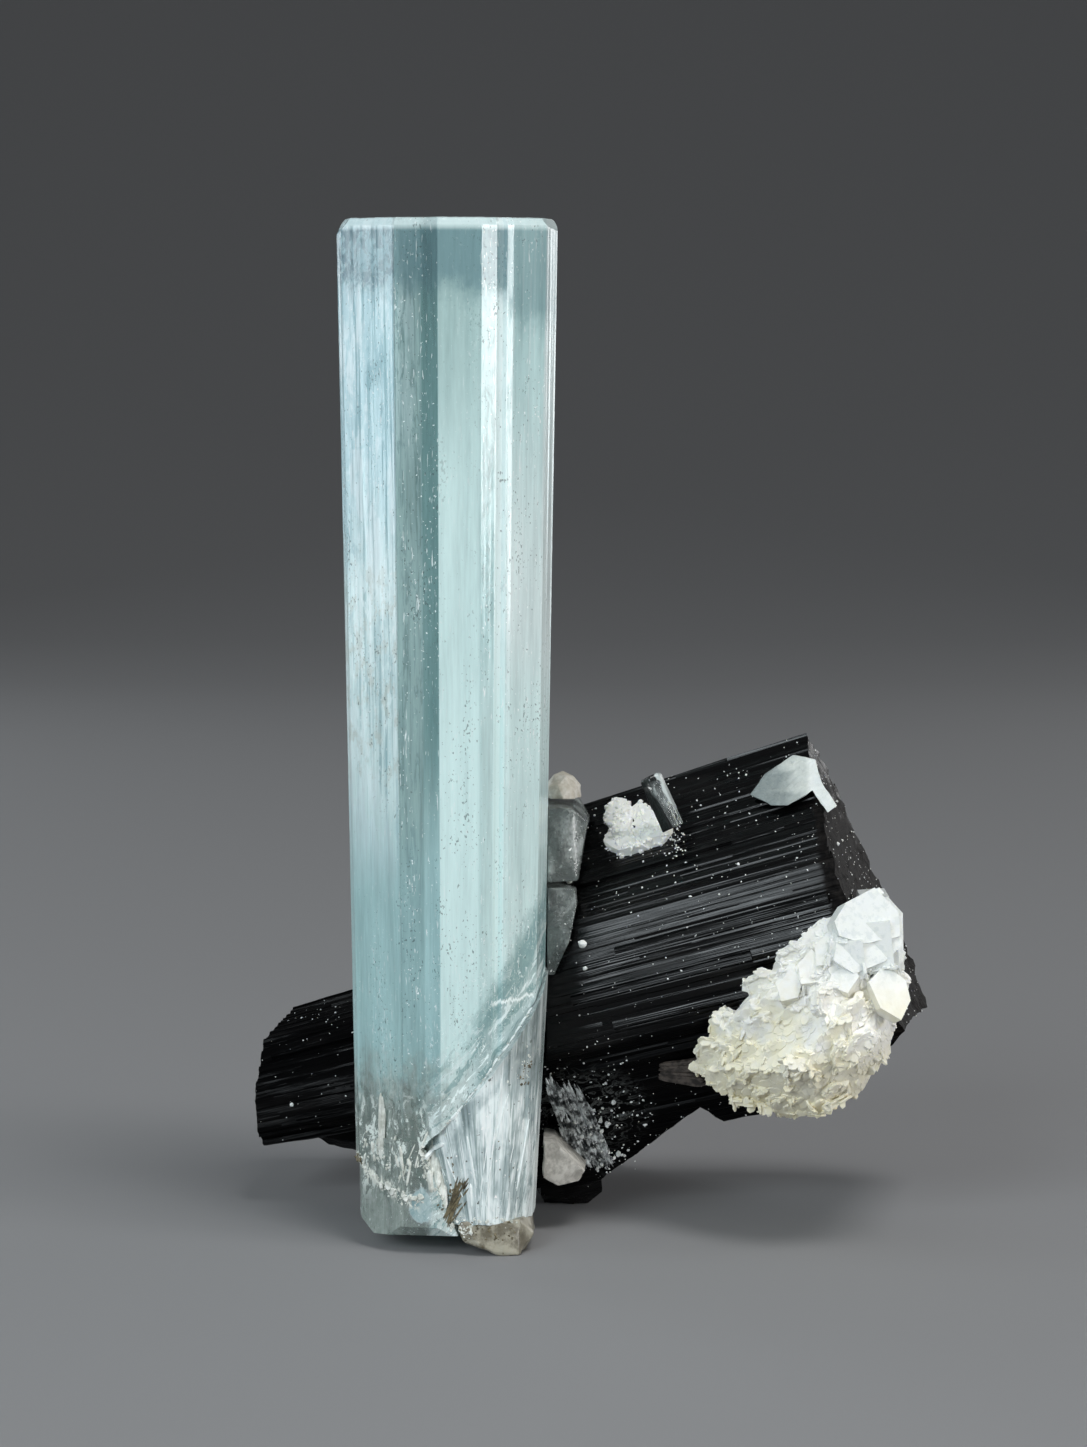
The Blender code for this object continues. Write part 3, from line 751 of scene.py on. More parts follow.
# %% [markdown]
# Slender parallel columns stand out of the faces as ledges, a smaller crystal is stepped down
# on the left, and rough lumps of the same mineral hang below, one of which is the foot that
# it all stands on. One Boolean joins them in the next step. A ledge is given by its two ends
# along the axis, its middle up and across, and its width.

# %% Tourmaline ledges, spur and foot
LEDGES = (
    (-8.0, 23.0, 5.2, -10.45, 0.7), (2.0, 22.0, 1.8, -11.5, 0.8), (-3.0, 14.0, -1.2, -12.1, 0.6),
    (0.0, 20.0, -4.2, -11.5, 0.7), (-6.0, 8.0, -7.6, -9.5, 0.7), (-12.0, 22.0, 8.4, 6.2, 1.4),
    (-16.0, 16.0, 3.2, 9.0, 1.6), (-14.0, 21.0, -5.4, 12.4, 1.5), (-10.0, 19.0, -12.4, 10.7, 1.3),
    (-15.0, 12.0, -16.0, 7.6, 1.1),
)
LEDGE_CORNERS = (0.2, 1.4, 2.5, 3.6, 5.0)
UNDERSIDE = (
    (-32.8, -8.2, -2.0), (-30.6, -10.2, -1.0), (-28.6, -11.0, -1.0), (-19.0, -12.8, -4.0),
    (-31.0, -9.0, 9.0), (-26.0, -11.2, 9.0), (-15.0, -15.0, 9.0), (-24.0, -2.0, -5.0),
    (-15.0, 0.0, 0.0), (-16.0, 0.0, 9.0),
)
HEEL = (
    (17.0, 16.0, 4.0), (21.5, 18.0, 7.0), (22.0, 25.0, 12.0), (19.5, 31.5, 3.0),
    (16.0, 33.0, 1.2), (8.0, 32.6, 2.0), (4.0, 30.0, 8.0), (2.0, 24.0, 10.0),
    (3.0, 16.0, 6.0), (12.0, 32.0, 8.0), (10.0, 20.0, 14.0), (18.0, 22.0, 14.0),
)
FOOT = (
    (8.3, 15.0, 0.0), (11.0, 14.0, 0.0), (14.2, 15.2, 0.0), (18.4, 31.0, 0.0),
    (7.0, 30.0, 0.0), (7.6, 11.0, 4.0), (13.0, 10.0, 4.2), (14.6, 12.8, 2.0),
    (20.0, 28.0, 9.0), (18.0, 20.0, 12.0), (5.0, 27.0, 10.0), (7.0, 14.0, 12.0),
)


def lump(name, points, pitch, sizes, strength):
    """The convex shape round the points, diced and roughened."""
    mesh = bpy.data.meshes.new(name)
    mesh.from_pydata(points, [], [])
    piece = bpy.data.objects.new(name, mesh)
    bpy.context.scene.collection.objects.link(piece)
    edit(piece)
    bpy.ops.mesh.convex_hull()
    bpy.ops.mesh.select_all(action="SELECT")
    bpy.ops.mesh.normals_make_consistent(inside=False)
    bpy.ops.object.mode_set(mode="OBJECT")
    dice(piece, GROWTH, pitch)
    grain(piece, GROWTH, sizes, strength, depth=3)
    return piece


ledges = []
for start, end, up, across, width in LEDGES:
    section = [
        (up + width * math.sin(angle), across + 0.8 * width * math.cos(angle))
        for angle in LEDGE_CORNERS
    ]
    ledge = schorl_prism("ledge", section, start, end, (end - start) / 2.0, 0.3)
    taper(ledge, SCHORL_MIDDLE, ALONG, FLARE)
    ledges.append(ledge)

spur = schorl_prism("spur", SPUR_SECTION, -40.0, -10.0, 1.5, 0.17)
grain(spur, GROWTH, (900.0, 0.9, 0.9), 0.4, "CELL_NOISE", 1)
grain(spur, GROWTH, (4.0, 0.8, 0.8), 0.45, "BLENDER_ORIGINAL", 3)
taper(spur, on_schorl(-24.5, 0.0, 0.0), ALONG, SPUR_FLARE)
trim(
    spur,
    [
        (on_schorl(-36.4, -5.8, -6.0), -ALONG + UP * 0.22),
        (on_schorl(-35.9, -5.5, -7.4), -ALONG - ACROSS * 0.9 - UP * 0.25),
    ],
)
underside = lump(
    "underside", [on_schorl(*place) for place in UNDERSIDE], 0.9, (3.0, 0.8, 0.8), 0.5
)
heel = lump("heel", [at(*place) for place in HEEL], 1.0, (4.0, 1.2, 1.2), 0.8)
foot = lump("foot", [at(*place) for place in FOOT], 1.0, (4.0, 1.2, 1.2), 0.6)
trim(
    foot,
    [
        (ORIGIN, -UPRIGHT[2]),
        (at(13.0, 14.0, 0.7), Vector((0.7, 0.0, -0.7))),
    ],
)
print("parts to join:", len(ledges) + 4)

# %% [markdown]
# The prism's ends and its underside on the right are broken across, and the aquamarine has
# grown into its side, so its seat is cut out with a little room all round.

# %% Tourmaline breaks and seat
SEAT_ROOM = 1.035
SEAT_HEIGHT = 25.0
BREAK_OUTLINE = [
    (13.6, 3.2), (22.4, 10.4), (24.6, 9.0), (28.6, 10.0), (36.0, 12.8), (40.6, 18.4),
    (46.0, 19.0), (46.0, -12.0), (13.6, -12.0),
]

boolean(
    schorl,
    [
        rough_cutter(
            on_schorl(SCHORL_RIGHT, 0.0, -11.0), ALONG + ACROSS * 0.05 + UP * 0.09, 34.0, 0.6,
            GROWTH, (6.0, 1.1, 2.6), 0.9,
        ),
        rough_cutter(
            on_schorl(SCHORL_LEFT, 0.0, 0.0), UP * 0.35 - ALONG, 28.0, 0.8, GROWTH,
            (6.0, 1.4, 2.6), 0.9,
        ),
    ],
    "DIFFERENCE",
)
trim(schorl, [(at(0.0, 0.0, 0.4), -UPRIGHT[2])])
boolean(schorl, [spur, underside, heel, foot] + ledges, "UNION")
gap = outline("gap", [at(x, -30.0, z + 2.2) for x, z in BREAK_OUTLINE], 1.0 * MM)
draw_out(
    [(Vector((0.0, 38.0, -2.2)) * MM, 1.0), (Vector((0.0, 52.0, -5.0)) * MM, 1.0)],
    at(0.0, -30.0, 0.0),
)
dice(gap, (ACROSS,), 1.2)
grain(gap, GROWTH, (3.0, 1.0, 1.0), 0.6, depth=3)
seat_width = (1.0 - NARROWING * (HEIGHT - SEAT_HEIGHT)) * SEAT_ROOM
seat = outline("seat", [at(x * seat_width, y * seat_width, -5.0) for x, y in BERYL_SECTION], 1.0)
draw_out([(Vector((0.0, 0.0, 100.0 * MM)), 1.0)], at(0.0, 0.0, -5.0))
boolean(schorl, [gap, seat], "DIFFERENCE")
smooth_to(schorl, 12.0)
print("tourmaline faces", len(schorl.data.polygons))

# %% [markdown]
# Small growths start from a copy of their node. The copy's loose triangles are joined, its
# flat faces made whole, its edges worn by a bevel, and its skin diced and roughened.

# %% Worn copies


def worn_copy(node, name, edge, pitch, sizes, strength):
    """A copy of the node with its edges worn and its skin cut to the pitch and roughened."""
    mesh = NODES[node].data.copy()
    mesh.materials.clear()
    piece = bpy.data.objects.new(name, mesh)
    bpy.context.scene.collection.objects.link(piece)
    edit(piece)
    bpy.ops.mesh.remove_doubles(threshold=2e-6)
    bpy.ops.mesh.dissolve_limited(angle_limit=math.radians(1.0))
    bpy.ops.mesh.select_all(action="SELECT")
    bpy.ops.mesh.bevel(offset=edge * MM, segments=2, clamp_overlap=True)
    bpy.ops.object.mode_set(mode="OBJECT")
    dice(piece, UPRIGHT, pitch)
    grain(piece, UPRIGHT, sizes, strength, depth=3)
    smooth_to(piece, 30.0)
    return piece


quartz_upper = worn_copy("quartz_block_upper", "quartz_upper", 0.18, 0.5, (2.5, 2.5, 5.0), 0.25)
quartz_lower = worn_copy("quartz_block_lower", "quartz_lower", 0.18, 0.5, (2.5, 2.5, 5.0), 0.25)
knob = worn_copy("feldspar_knob", "knob", 0.1, 0.35, (1.6, 1.6, 1.6), 0.35)
plate = worn_copy("albite_plate", "plate", 0.22, 0.4, (2.6, 2.6, 2.6), 0.45)
prism = worn_copy("small_beryl", "prism", 0.1, 0.4, (0.5, 0.5, 4.0), 0.06)
matrix = worn_copy("feldspar_matrix", "matrix", 0.25, 0.5, (1.5, 1.5, 1.5), 0.5)
trim(matrix, [(at(9.9, 0.0, 7.6), Vector((0.74, 0.0, 0.67)))])
nub = worn_copy("foot_nub", "nub", 0.3, 0.45, (1.6, 1.6, 1.4), 0.55)
trim(nub, [(ORIGIN, -UPRIGHT[2])])
print("worn copies:", [len(p.data.polygons) for p in (quartz_upper, quartz_lower, knob, nub)])

# %% [markdown]
# Many small things repeat: plates, grains, needles. One model of each is made in a few
# irregular versions, and copies of them are scattered over a surface and joined.

# %% Scattering copies


def surface_spots(source, count, rng, wanted):
    """Random (point, normal) pairs spread evenly over a mesh, kept where they are wanted."""
    mesh = source.data
    mesh.calc_loop_triangles()
    triangles = [
        ([mesh.vertices[index].co.copy() for index in triangle.vertices], triangle.normal.copy())
        for triangle in mesh.loop_triangles
    ]
    weights = [triangle.area for triangle in mesh.loop_triangles]
    spots = []
    while len(spots) < count:
        for (a, b, c), normal in rng.choices(triangles, weights, k=count):
            u, v = rng.random(), rng.random()
            if u + v > 1.0:
                u, v = 1.0 - u, 1.0 - v
            point = a + (b - a) * u + (c - a) * v
            if wanted(point, normal) and len(spots) < count:
                spots.append((point, normal))
    return spots


def any_direction(rng):
    """A random direction, all being equally likely."""
    return Vector([rng.gauss(0.0, 1.0) for _ in range(3)]).normalized()


def placing(point, facing, toward, size, squash=1.0):
    """A matrix that sets a model down at the point, facing one way, its length toward another.
    The size is in millimetres."""
    side = facing.cross(toward).normalized()
    axes = Matrix((side.cross(facing), side, facing)).transposed().to_4x4()
    shape = Matrix.Diagonal((size * MM, size * squash * MM, size * MM, 1.0))
    return Matrix.Translation(point) @ axes @ shape


def seen_point(piece, x, z):
    """Where a line from the front, at this x and z, meets the piece: its place and normal."""
    found, place, normal, _ = piece.ray_cast(at(x, -60.0, z), UPRIGHT[1])
    return (place, normal) if found else None


def rained_spots(piece, count, wanted):
    """Where lines from all around first meet a piece: (place, normal, luck) each. The luck is a
    line's own source of chance, so a line that misses changes nothing for the others."""
    corners = [Vector(corner) for corner in piece.bound_box]
    middle = sum(corners, Vector()) / len(corners)
    reach = max((corner - middle).length for corner in corners)
    spots = []
    number = 0
    while len(spots) < count:
        number += 1
        luck = random.Random(number)
        line = any_direction(luck)
        side = line.orthogonal().normalized()
        turn = luck.uniform(0.0, math.tau)
        aside = (side * math.cos(turn) + line.cross(side) * math.sin(turn)) * reach
        start = middle - line * 2.0 * reach + aside * math.sqrt(luck.random())
        found, place, normal, _ = piece.ray_cast(start, line)
        if found and wanted(place, normal):
            spots.append((place, normal, luck))
    return spots


def copies(name, models, placings):
    """Copies of the models, each with its own mesh, joined into one piece."""
    made = []
    for index, place in enumerate(placings):
        mesh = models[index % len(models)].data.copy()
        mesh.transform(place)
        copy = bpy.data.objects.new(name, mesh)
        bpy.context.scene.collection.objects.link(copy)
        made.append(copy)
    whole = joined(made, name)
    for model in models:
        bpy.data.objects.remove(model)
    return whole


def flake_model(rng, sides, thickness):
    """One thin plate about a millimetre across, with an uneven outline and a worn edge."""
    under = UPRIGHT[2] * thickness / -2.0
    corners = []
    for index in range(sides):
        angle = math.tau * (index + rng.uniform(-0.25, 0.25)) / sides
        reach = rng.uniform(0.43, 0.54)
        corners.append(under + Vector((math.cos(angle), math.sin(angle), 0.0)) * reach)
    piece = outline("flake", corners, 10.0)
    draw_out(
        [(UPRIGHT[2] * thickness * 0.7, 1.0), (UPRIGHT[2] * thickness * 0.3, 0.86)], under
    )
    return piece


def grain_model(rng):
    """One small angular grain, about a millimetre across."""
    nothing_selected()
    bpy.ops.mesh.primitive_ico_sphere_add(subdivisions=1, radius=0.5)
    piece = active_piece()
    edit(piece)
    bpy.ops.transform.vertex_random(offset=0.16, seed=rng.randint(1, 999))
    bpy.ops.object.mode_set(mode="OBJECT")
    return piece


def needle_model(rng):
    """One thin upright needle of unit length, tapered at both ends."""
    nothing_selected()
    bpy.ops.mesh.primitive_cylinder_add(vertices=5, radius=0.5, depth=0.7)
    piece = active_piece()
    edit(piece)
    bpy.ops.mesh.select_mode(type="FACE")
    for side in (1.0, -1.0):
        select_in(piece, "polygons", lambda face: face.normal.z * side > 0.9)
        bpy.ops.mesh.extrude_region_move(
            TRANSFORM_OT_translate={"value": (0.0, 0.0, 0.15 * side)}
        )
        shrink = rng.uniform(0.25, 0.5)
        bpy.ops.transform.resize(
            value=(shrink, shrink, 1.0), center_override=(0.0, 0.0, 0.5 * side)
        )
    bpy.ops.object.mode_set(mode="OBJECT")
    return piece


def stretch_along(start, end, width):
    """A matrix that lays a needle between two points, with the width in millimetres."""
    span = end - start
    turned = span.to_track_quat("Z", "Y").to_matrix().to_4x4()
    shape = Matrix.Diagonal((width * MM, width * MM, span.length, 1.0))
    return Matrix.Translation((start + end) / 2.0) @ turned @ shape


print("scattering ready")

# %% [markdown]
# Albite of this kind grows as rosettes of thin curved plates, and collectors call it
# cleavelandite. Plates lean over one another like scales, each half sunk into the mass, but
# for the upper right, where a few blocks share one broad cleaved face, and the upper left
# edge, where smaller blocks stand in steps.

# %% Albite cluster
rng = random.Random(4)
CLUSTER_SMOOTH = at(36.9, -8.4, 28.5)
CLEAVED = Vector((0.30, -0.90, 0.30)).normalized()
CLEAVED_LEFT = Vector((-0.12, -0.88, 0.46)).normalized()
FLAKE_SPOTS = 4900
FLAKE_SIZES = (0.65, 1.45)
FLAKE_TILTS = (0.05, 0.28)
FLAKE_DEPTHS = (0.02, 0.22)


def on_cleaved_faces(point):
    """Whether a point is on the cluster's upper right, where broad cleaved faces show."""
    aside = (point - CLUSTER_SMOOTH) / MM
    return aside.x > -2.6 and aside.z > -3.1


placings = []
for point, normal in surface_spots(
    NODES["albite_cluster"], FLAKE_SPOTS, rng, lambda point, normal: normal.y < 0.75
):
    if on_cleaved_faces(point):
        continue
    outward = (point - CLUSTER_SMOOTH).normalized() + any_direction(rng) * 0.3
    facing = normal - outward * rng.uniform(*FLAKE_TILTS) + any_direction(rng) * 0.08
    facing.normalize()
    size = rng.uniform(*FLAKE_SIZES)
    place = point - normal * rng.uniform(*FLAKE_DEPTHS) * MM
    placings.append(placing(place, facing, outward, size, rng.uniform(0.5, 0.8)))
flakes = copies("albite_flakes", [flake_model(rng, 7, 0.16) for _ in range(7)], placings)

CLEAVED_BLOCKS = (
    (CLEAVED, -8.45, [(37.1, 32.2), (34.5, 31.0), (33.5, 29.5), (33.9, 28.3), (36.0, 27.5),
                      (38.0, 28.6), (39.3, 28.0), (39.2, 30.0)]),
    (CLEAVED, -8.1, [(33.8, 28.6), (36.0, 27.9), (38.2, 28.8), (39.4, 28.2), (39.5, 27.2),
                     (37.9, 25.9), (35.2, 25.0), (33.4, 26.2)]),
    (CLEAVED, -7.8, [(37.9, 25.6), (39.8, 24.2), (40.2, 22.5), (39.3, 20.9), (37.5, 22.0),
                     (36.5, 24.2)]),
    (CLEAVED_LEFT, -8.3, [(33.6, 29.2), (34.6, 30.4), (35.2, 29.0), (34.4, 27.4), (33.0, 27.6)]),
    (CLEAVED_LEFT, -8.1, [(31.8, 27.2), (33.2, 28.6), (34.0, 27.6), (33.6, 25.8), (32.0, 25.6)]),
    (CLEAVED_LEFT, -8.2, [(30.4, 25.6), (31.6, 26.9), (32.6, 26.0), (32.2, 24.2), (30.6, 24.0)]),
    (CLEAVED_LEFT, -7.9, [(28.6, 23.6), (29.8, 25.2), (30.9, 24.4), (30.4, 22.8), (28.9, 22.4)]),
    (CLEAVED_LEFT, -9.0, [(33.4, 25.8), (34.6, 26.4), (35.6, 24.8), (34.6, 23.4), (33.0, 24.0)]),
)
cleavage = []
for facing, depth, corners in CLEAVED_BLOCKS:
    middle = Vector((37.0, 0.0, 28.0)) if facing is CLEAVED else Vector((*corners[0], 0.0)).xzy
    points = []
    for x, z in corners:
        aside = Vector((x, 0.0, z)) - middle
        front = at(x, depth - aside.dot(facing) / facing.y, z)
        points += [front, front - facing * 2.0 * MM]
    cleavage.append(lump("albite_cleavage", points, 0.3, (0.9, 1.3, 1.3), 0.12))
cleavage = joined(cleavage, "albite_cleavage")
print("cluster triangles", sum(len(face.vertices) - 2 for face in flakes.data.polygons))

# %% [markdown]
# The patch on the upper face is a crust of the same albite. Three soft overlapping lobes lie
# on the tourmaline, and small grains make its fringe uneven.

# %% Albite patch
LOBES = (
    (0.95, [(13.8, 36.0), (14.2, 37.1), (15.0, 37.85), (15.9, 37.7), (16.6, 36.8), (16.3, 35.1),
            (14.5, 34.7)]),
    (0.85, [(16.2, 37.0), (17.1, 37.6), (17.9, 36.9), (19.4, 36.3), (19.9, 35.6), (19.1, 34.9),
           (16.6, 34.1)]),
    (0.75, [(13.7, 34.3), (14.2, 35.2), (16.6, 35.5), (18.0, 34.5), (14.9, 33.5), (14.0, 33.8)]),
)
PATCH_GRAINS = 300
FRINGE_GRAINS = 70
lobes = []
for lift, corners in LOBES:
    points = []
    for x, z in corners:
        place, _ = seen_point(schorl, x, z)
        middle = sum((Vector((*corner, 0.0)).xzy for corner in corners), Vector()) / len(corners)
        inward = (middle - Vector((x, 0.0, z))) * 0.35 * MM
        points += [place + UP * 0.2 * MM, place - UPRIGHT[1] * lift * MM + inward, place - UP * MM]
    lobes.append(lump("albite_lobes", points, 0.3, (1.5, 1.5, 1.5), 0.4))
lobes = joined(lobes, "albite_lobes")
placings = []
for point, normal in surface_spots(
    lobes, PATCH_GRAINS, rng, lambda point, normal: normal.y < 0.3
):
    facing = (normal + any_direction(rng) * 0.8).normalized()
    placings.append(placing(point, facing, any_direction(rng), rng.uniform(0.2, 0.7), 0.8))
for _ in range(FRINGE_GRAINS):
    found = seen_point(schorl, rng.gauss(20.0, 0.5), rng.gauss(34.9, 0.6))
    size, toward = rng.uniform(0.08, 0.25), any_direction(rng)
    if found:
        placings.append(placing(found[0], found[1], toward, size, 0.8))
grains = copies("albite_grains", [grain_model(rng) for _ in range(5)], placings)
print("patch triangles", len(grains.data.polygons))

# %% [markdown]
# Pale fibres fan down the lower front face of the tourmaline from beside the aquamarine, and
# round nodules sit on them. A fibre is one tapered needle, laid between a place on the upper
# edge of the fan and one on its lower edge.

# %% Albite crust
FACE_D = on_schorl(0.0, -9.4, -8.6)
FACE_D_OUT = (-UP * 0.62 - ACROSS * 0.80).normalized()
FIBRES = 300
SHEAVES = (0.05, 0.18, 0.3, 0.42, 0.58, 0.7, 0.9)
NODULES = 150
NODULE_GROUPS = (
    (13.0, 7.0, 0.25), (13.6, 5.6, 0.4), (12.2, 8.6, 0.5), (11.0, 8.0, 1.0), (13.4, 4.6, 0.3),
    (13.6, 9.6, 1.2), (15.4, 6.2, 1.0),
)


def on_face_d(x, z, lift):
    """The place on the tourmaline's lower front face with this x and z, lifted off it."""
    start = at(x, 0.0, z)
    depth = (FACE_D - start).dot(FACE_D_OUT) / FACE_D_OUT.y
    return start + UPRIGHT[1] * depth + FACE_D_OUT * lift * MM


placings = []
for _ in range(FIBRES):
    share = rng.choice(SHEAVES) + rng.gauss(0.0, 0.045)
    lift = rng.uniform(0.15, 1.1) - 0.4 * share
    begin = rng.uniform(0.0, 0.85)
    end = min(1.0, begin + rng.uniform(0.15, 0.45))
    ends = []
    for place in (begin, end):
        x = 8.3 + 3.2 * share + (2.9 + 0.2 * share) * place + rng.gauss(0.0, 0.2)
        z = 14.4 - 1.6 * share - (9.4 - 1.1 * share) * place
        ends.append(on_face_d(x, z, lift + rng.uniform(-0.3, 0.15)))
    placings.append(stretch_along(ends[0], ends[1], rng.uniform(0.08, 0.36)))
fibres = copies("crust_fibres", [needle_model(rng) for _ in range(5)], placings)

placings = []
for _ in range(NODULES):
    x, z, spread = rng.choice(NODULE_GROUPS)
    x += rng.gauss(0.0, spread)
    z += rng.gauss(0.0, spread)
    place = on_face_d(x, z, rng.uniform(0.1, 0.8))
    size = min(0.65, rng.lognormvariate(-1.5, 0.55))
    placings.append(placing(place, any_direction(rng), any_direction(rng), size, 0.7))
nodules = copies("crust_nodules", [grain_model(rng) for _ in range(5)], placings)
print("fibres", len(fibres.data.polygons), "nodules", len(nodules.data.polygons))

# %% [markdown]
# Tiny white grains are sprinkled over the tourmaline, thickest beside the crust, with a few
# larger ones. Each grain's size and turn come from the chance of the line that found its spot.

# %% White specks
SPECK_SPOTS = 4600
LOWEST_SPECK = 0.6 * MM
LARGER_SPECKS = (
    (11.75, 26.0, 0.95), (12.0, 23.9, 0.5), (31.3, 13.0, 0.5), (9.6, 31.2, 0.8),
    (10.6, 31.0, 0.7), (9.2, 30.6, 0.6),
)
CRUST_SIDE = on_face_d(12.0, 10.0, 0.5)
placings = []
for point, normal, luck in rained_spots(
    schorl, SPECK_SPOTS, lambda point, normal: normal.y < 0.6 and point.z > LOWEST_SPECK
):
    near = max(0.0, 1.0 - (point - CRUST_SIDE).length / (9.0 * MM))
    if luck.random() > (0.5 if point.x > 0.0 else 0.3) + near * 2.0:
        continue
    size = min(0.5, luck.lognormvariate(-2.2 + near * 0.5, 0.45))
    placings.append(placing(point, normal, any_direction(luck), size, luck.uniform(0.5, 1.0)))
for x, z, size in LARGER_SPECKS:
    place, normal = seen_point(schorl, x, z)
    placings.append(placing(place, normal, ALONG, size, 0.9))
specks = copies("white_specks", [grain_model(rng) for _ in range(6)], placings)
print("specks", len(specks.data.polygons))

# %% [markdown]
# The root of the aquamarine is the messy part. Crumbs line its broken ledge and the inclined
# break, a pale seam runs up that break, white flame-like growths and one long bar stand in
# the clear foot, and a bundle of brown needles and rusty bits sit round the joint. Each lies
# on the surface that a line from the front finds.

# %% Root details
SEAM_LEFT = -1.8
SEAM_RIGHT = 7.2
BROWN_NEEDLES = 20
BROWN_FIBRES = 90


def on_break(x, past=0.0):
    """The height of the inclined break at this x on the crystal's front, moved up by past."""
    y = (seen_point(aquamarine, x, 40.0)[0] - ORIGIN).y / MM * 0.96
    slope = BREAK_NORMAL.x * (x - BREAK_POINT[0]) + BREAK_NORMAL.y * (y - BREAK_POINT[1])
    return BREAK_POINT[2] - slope / BREAK_NORMAL.z + past


def between_spots(spots, share):
    """The (x, z) at this share of the way along a broken line of spots."""
    count = len(spots) - 1
    index = min(count - 1, int(share * count))
    rest = share * count - index
    a, b = spots[index], spots[index + 1]
    return a[0] + (b[0] - a[0]) * rest, a[1] + (b[1] - a[1]) * rest


def front_hit(x, z):
    """Where a line from the front first meets a crystal of the root: its place and normal."""
    hits = [seen_point(piece, x, z) for piece in (aquamarine, root_block, nub)]
    return min((hit for hit in hits if hit), key=lambda hit: hit[0].y, default=None)


def strewn(name, lines):
    """Bits along lines on the crystals. Each line has its spots, the number of its bits, their
    smallest and largest size, and how far they scatter."""
    placings = []
    for spots, count, smallest, largest, scatter in lines:
        for _ in range(count):
            x, z = between_spots(spots, rng.random())
            x += rng.gauss(0.0, scatter)
            z += rng.gauss(0.0, scatter)
            lean, toward = any_direction(rng) * 0.7, any_direction(rng)
            size = smallest + (largest - smallest) * rng.random() ** 2.0
            hit = front_hit(x, z)
            if hit:
                facing = (hit[1] + lean).normalized()
                placings.append(placing(hit[0], facing, toward, size, 0.7))
    chips = [flake_model(rng, 6, rng.uniform(0.15, 0.4)) for _ in range(6)]
    return copies(name, chips, placings)


def upright_needles(name, needles):
    """Needles on the crystals' front: each is (x, z of its foot, x, z of its tip, width)."""
    placings = []
    for foot_x, foot_z, tip_x, tip_z, width in needles:
        foot_hit, tip_hit = front_hit(foot_x, foot_z), front_hit(tip_x, tip_z)
        if foot_hit and tip_hit:
            placings.append(stretch_along(foot_hit[0], tip_hit[0], width))
    return copies(name, [needle_model(rng) for _ in range(4)], placings)


PALE_CRUMBS = [
    ([(-8.2, 8.2), (-7.6, 7.0), (-6.6, 6.2), (-4.0, 4.9), (-2.6, 4.8)], 150, 0.08, 0.38, 0.32),
    ([(-8.2, 8.0), (-6.6, 6.2), (-4.0, 5.0), (-2.6, 5.0)], 14, 0.5, 1.1, 0.22),
    ([(-2.4, 9.2), (-1.6, 7.6), (-0.4, 5.4)], 120, 0.12, 0.6, 0.34),
    ([(0.3, 2.6), (1.8, 1.9)], 50, 0.12, 0.55, 0.3),
    ([(6.2, 15.6), (7.2, 17.6)], 26, 0.1, 0.4, 0.4),
    ([(x, on_break(x)) for x in (-1.5, 1.0, 3.5, 5.5, 7.2)], 90, 0.08, 0.34, 0.07),
    ([(-7.6, 9.6), (-5.0, 7.6)], 60, 0.1, 0.6, 0.5),
    ([(1.0, 3.2), (6.4, 3.0)], 50, 0.1, 0.4, 0.2),
]
RUSTY_CRUMBS = [
    ([(-8.2, 7.9), (-7.9, 7.4)], 24, 0.2, 0.6, 0.14),
    ([(6.2, 15.0), (6.9, 16.4)], 22, 0.12, 0.4, 0.3),
    ([(0.8, 2.2), (5.6, 1.6)], 70, 0.08, 0.35, 0.5),
    ([(-0.6, 4.4), (1.2, 6.2)], 40, 0.1, 0.4, 0.25),
    ([(-0.1, 9.0), (0.5, 7.0)], 9, 0.08, 0.35, 0.12),
    ([(3.0, 10.0), (6.0, 5.0)], 14, 0.06, 0.2, 1.2),
]
pale_crumbs = strewn("pale_crumbs", PALE_CRUMBS)
rusty_crumbs = strewn("rusty_crumbs", RUSTY_CRUMBS)
FLAMES = 34
FLAME_GROUPS = (
    (-1.7, 7.4, 0.4, 2.4), (-2.9, 8.2, 0.8, 2.4), (-6.6, 8.2, 0.8, 1.2), (-4.4, 7.0, 0.9, 1.2),
)
flames = [
    (-6.0, 8.2, -5.9, 13.6, 0.55), (-5.85, 9.0, -5.7, 12.6, 0.4), (-6.1, 10.5, -6.0, 13.9, 0.35),
    (-1.9, 6.6, -2.0, 9.2, 0.6), (-1.3, 6.9, -1.5, 9.5, 0.7), (-1.0, 6.0, -1.05, 8.5, 0.65),
    (-0.6, 5.0, -0.75, 7.3, 0.55), (-1.5, 5.6, -1.7, 7.6, 0.5), (-0.3, 4.2, -0.35, 6.2, 0.4),
]
for _ in range(FLAMES):
    x, z, spread, reach = rng.choice(FLAME_GROUPS)
    x += rng.gauss(0.0, spread)
    z += rng.gauss(0.0, 0.6)
    tip = reach * rng.uniform(0.3, 1.0)
    flames.append((x, z, x + tip * rng.uniform(-0.3, 0.45), z + tip, rng.uniform(0.08, 0.30)))
flames = upright_needles("white_flames", flames)
steps = [SEAM_LEFT + (SEAM_RIGHT - SEAM_LEFT) * index / 18.0 for index in range(19)]
bends = [(x, on_break(x, 0.05)) for x in steps]
split = [(-1.55 + 0.27 * index, 8.9 - 0.83 * index) for index in range(9)]
corner = [(-2.2, 8.5), (-1.4, 9.2), (-0.5, 9.9)]
seam = upright_needles(
    "pale_seam",
    [
        (*a, b[0] + 0.08, b[1], rng.uniform(low, low + 0.2))
        for line, low in ((bends, 0.16), (split, 0.08), (corner, 0.4))
        for a, b in zip(line, line[1:])
    ],
)
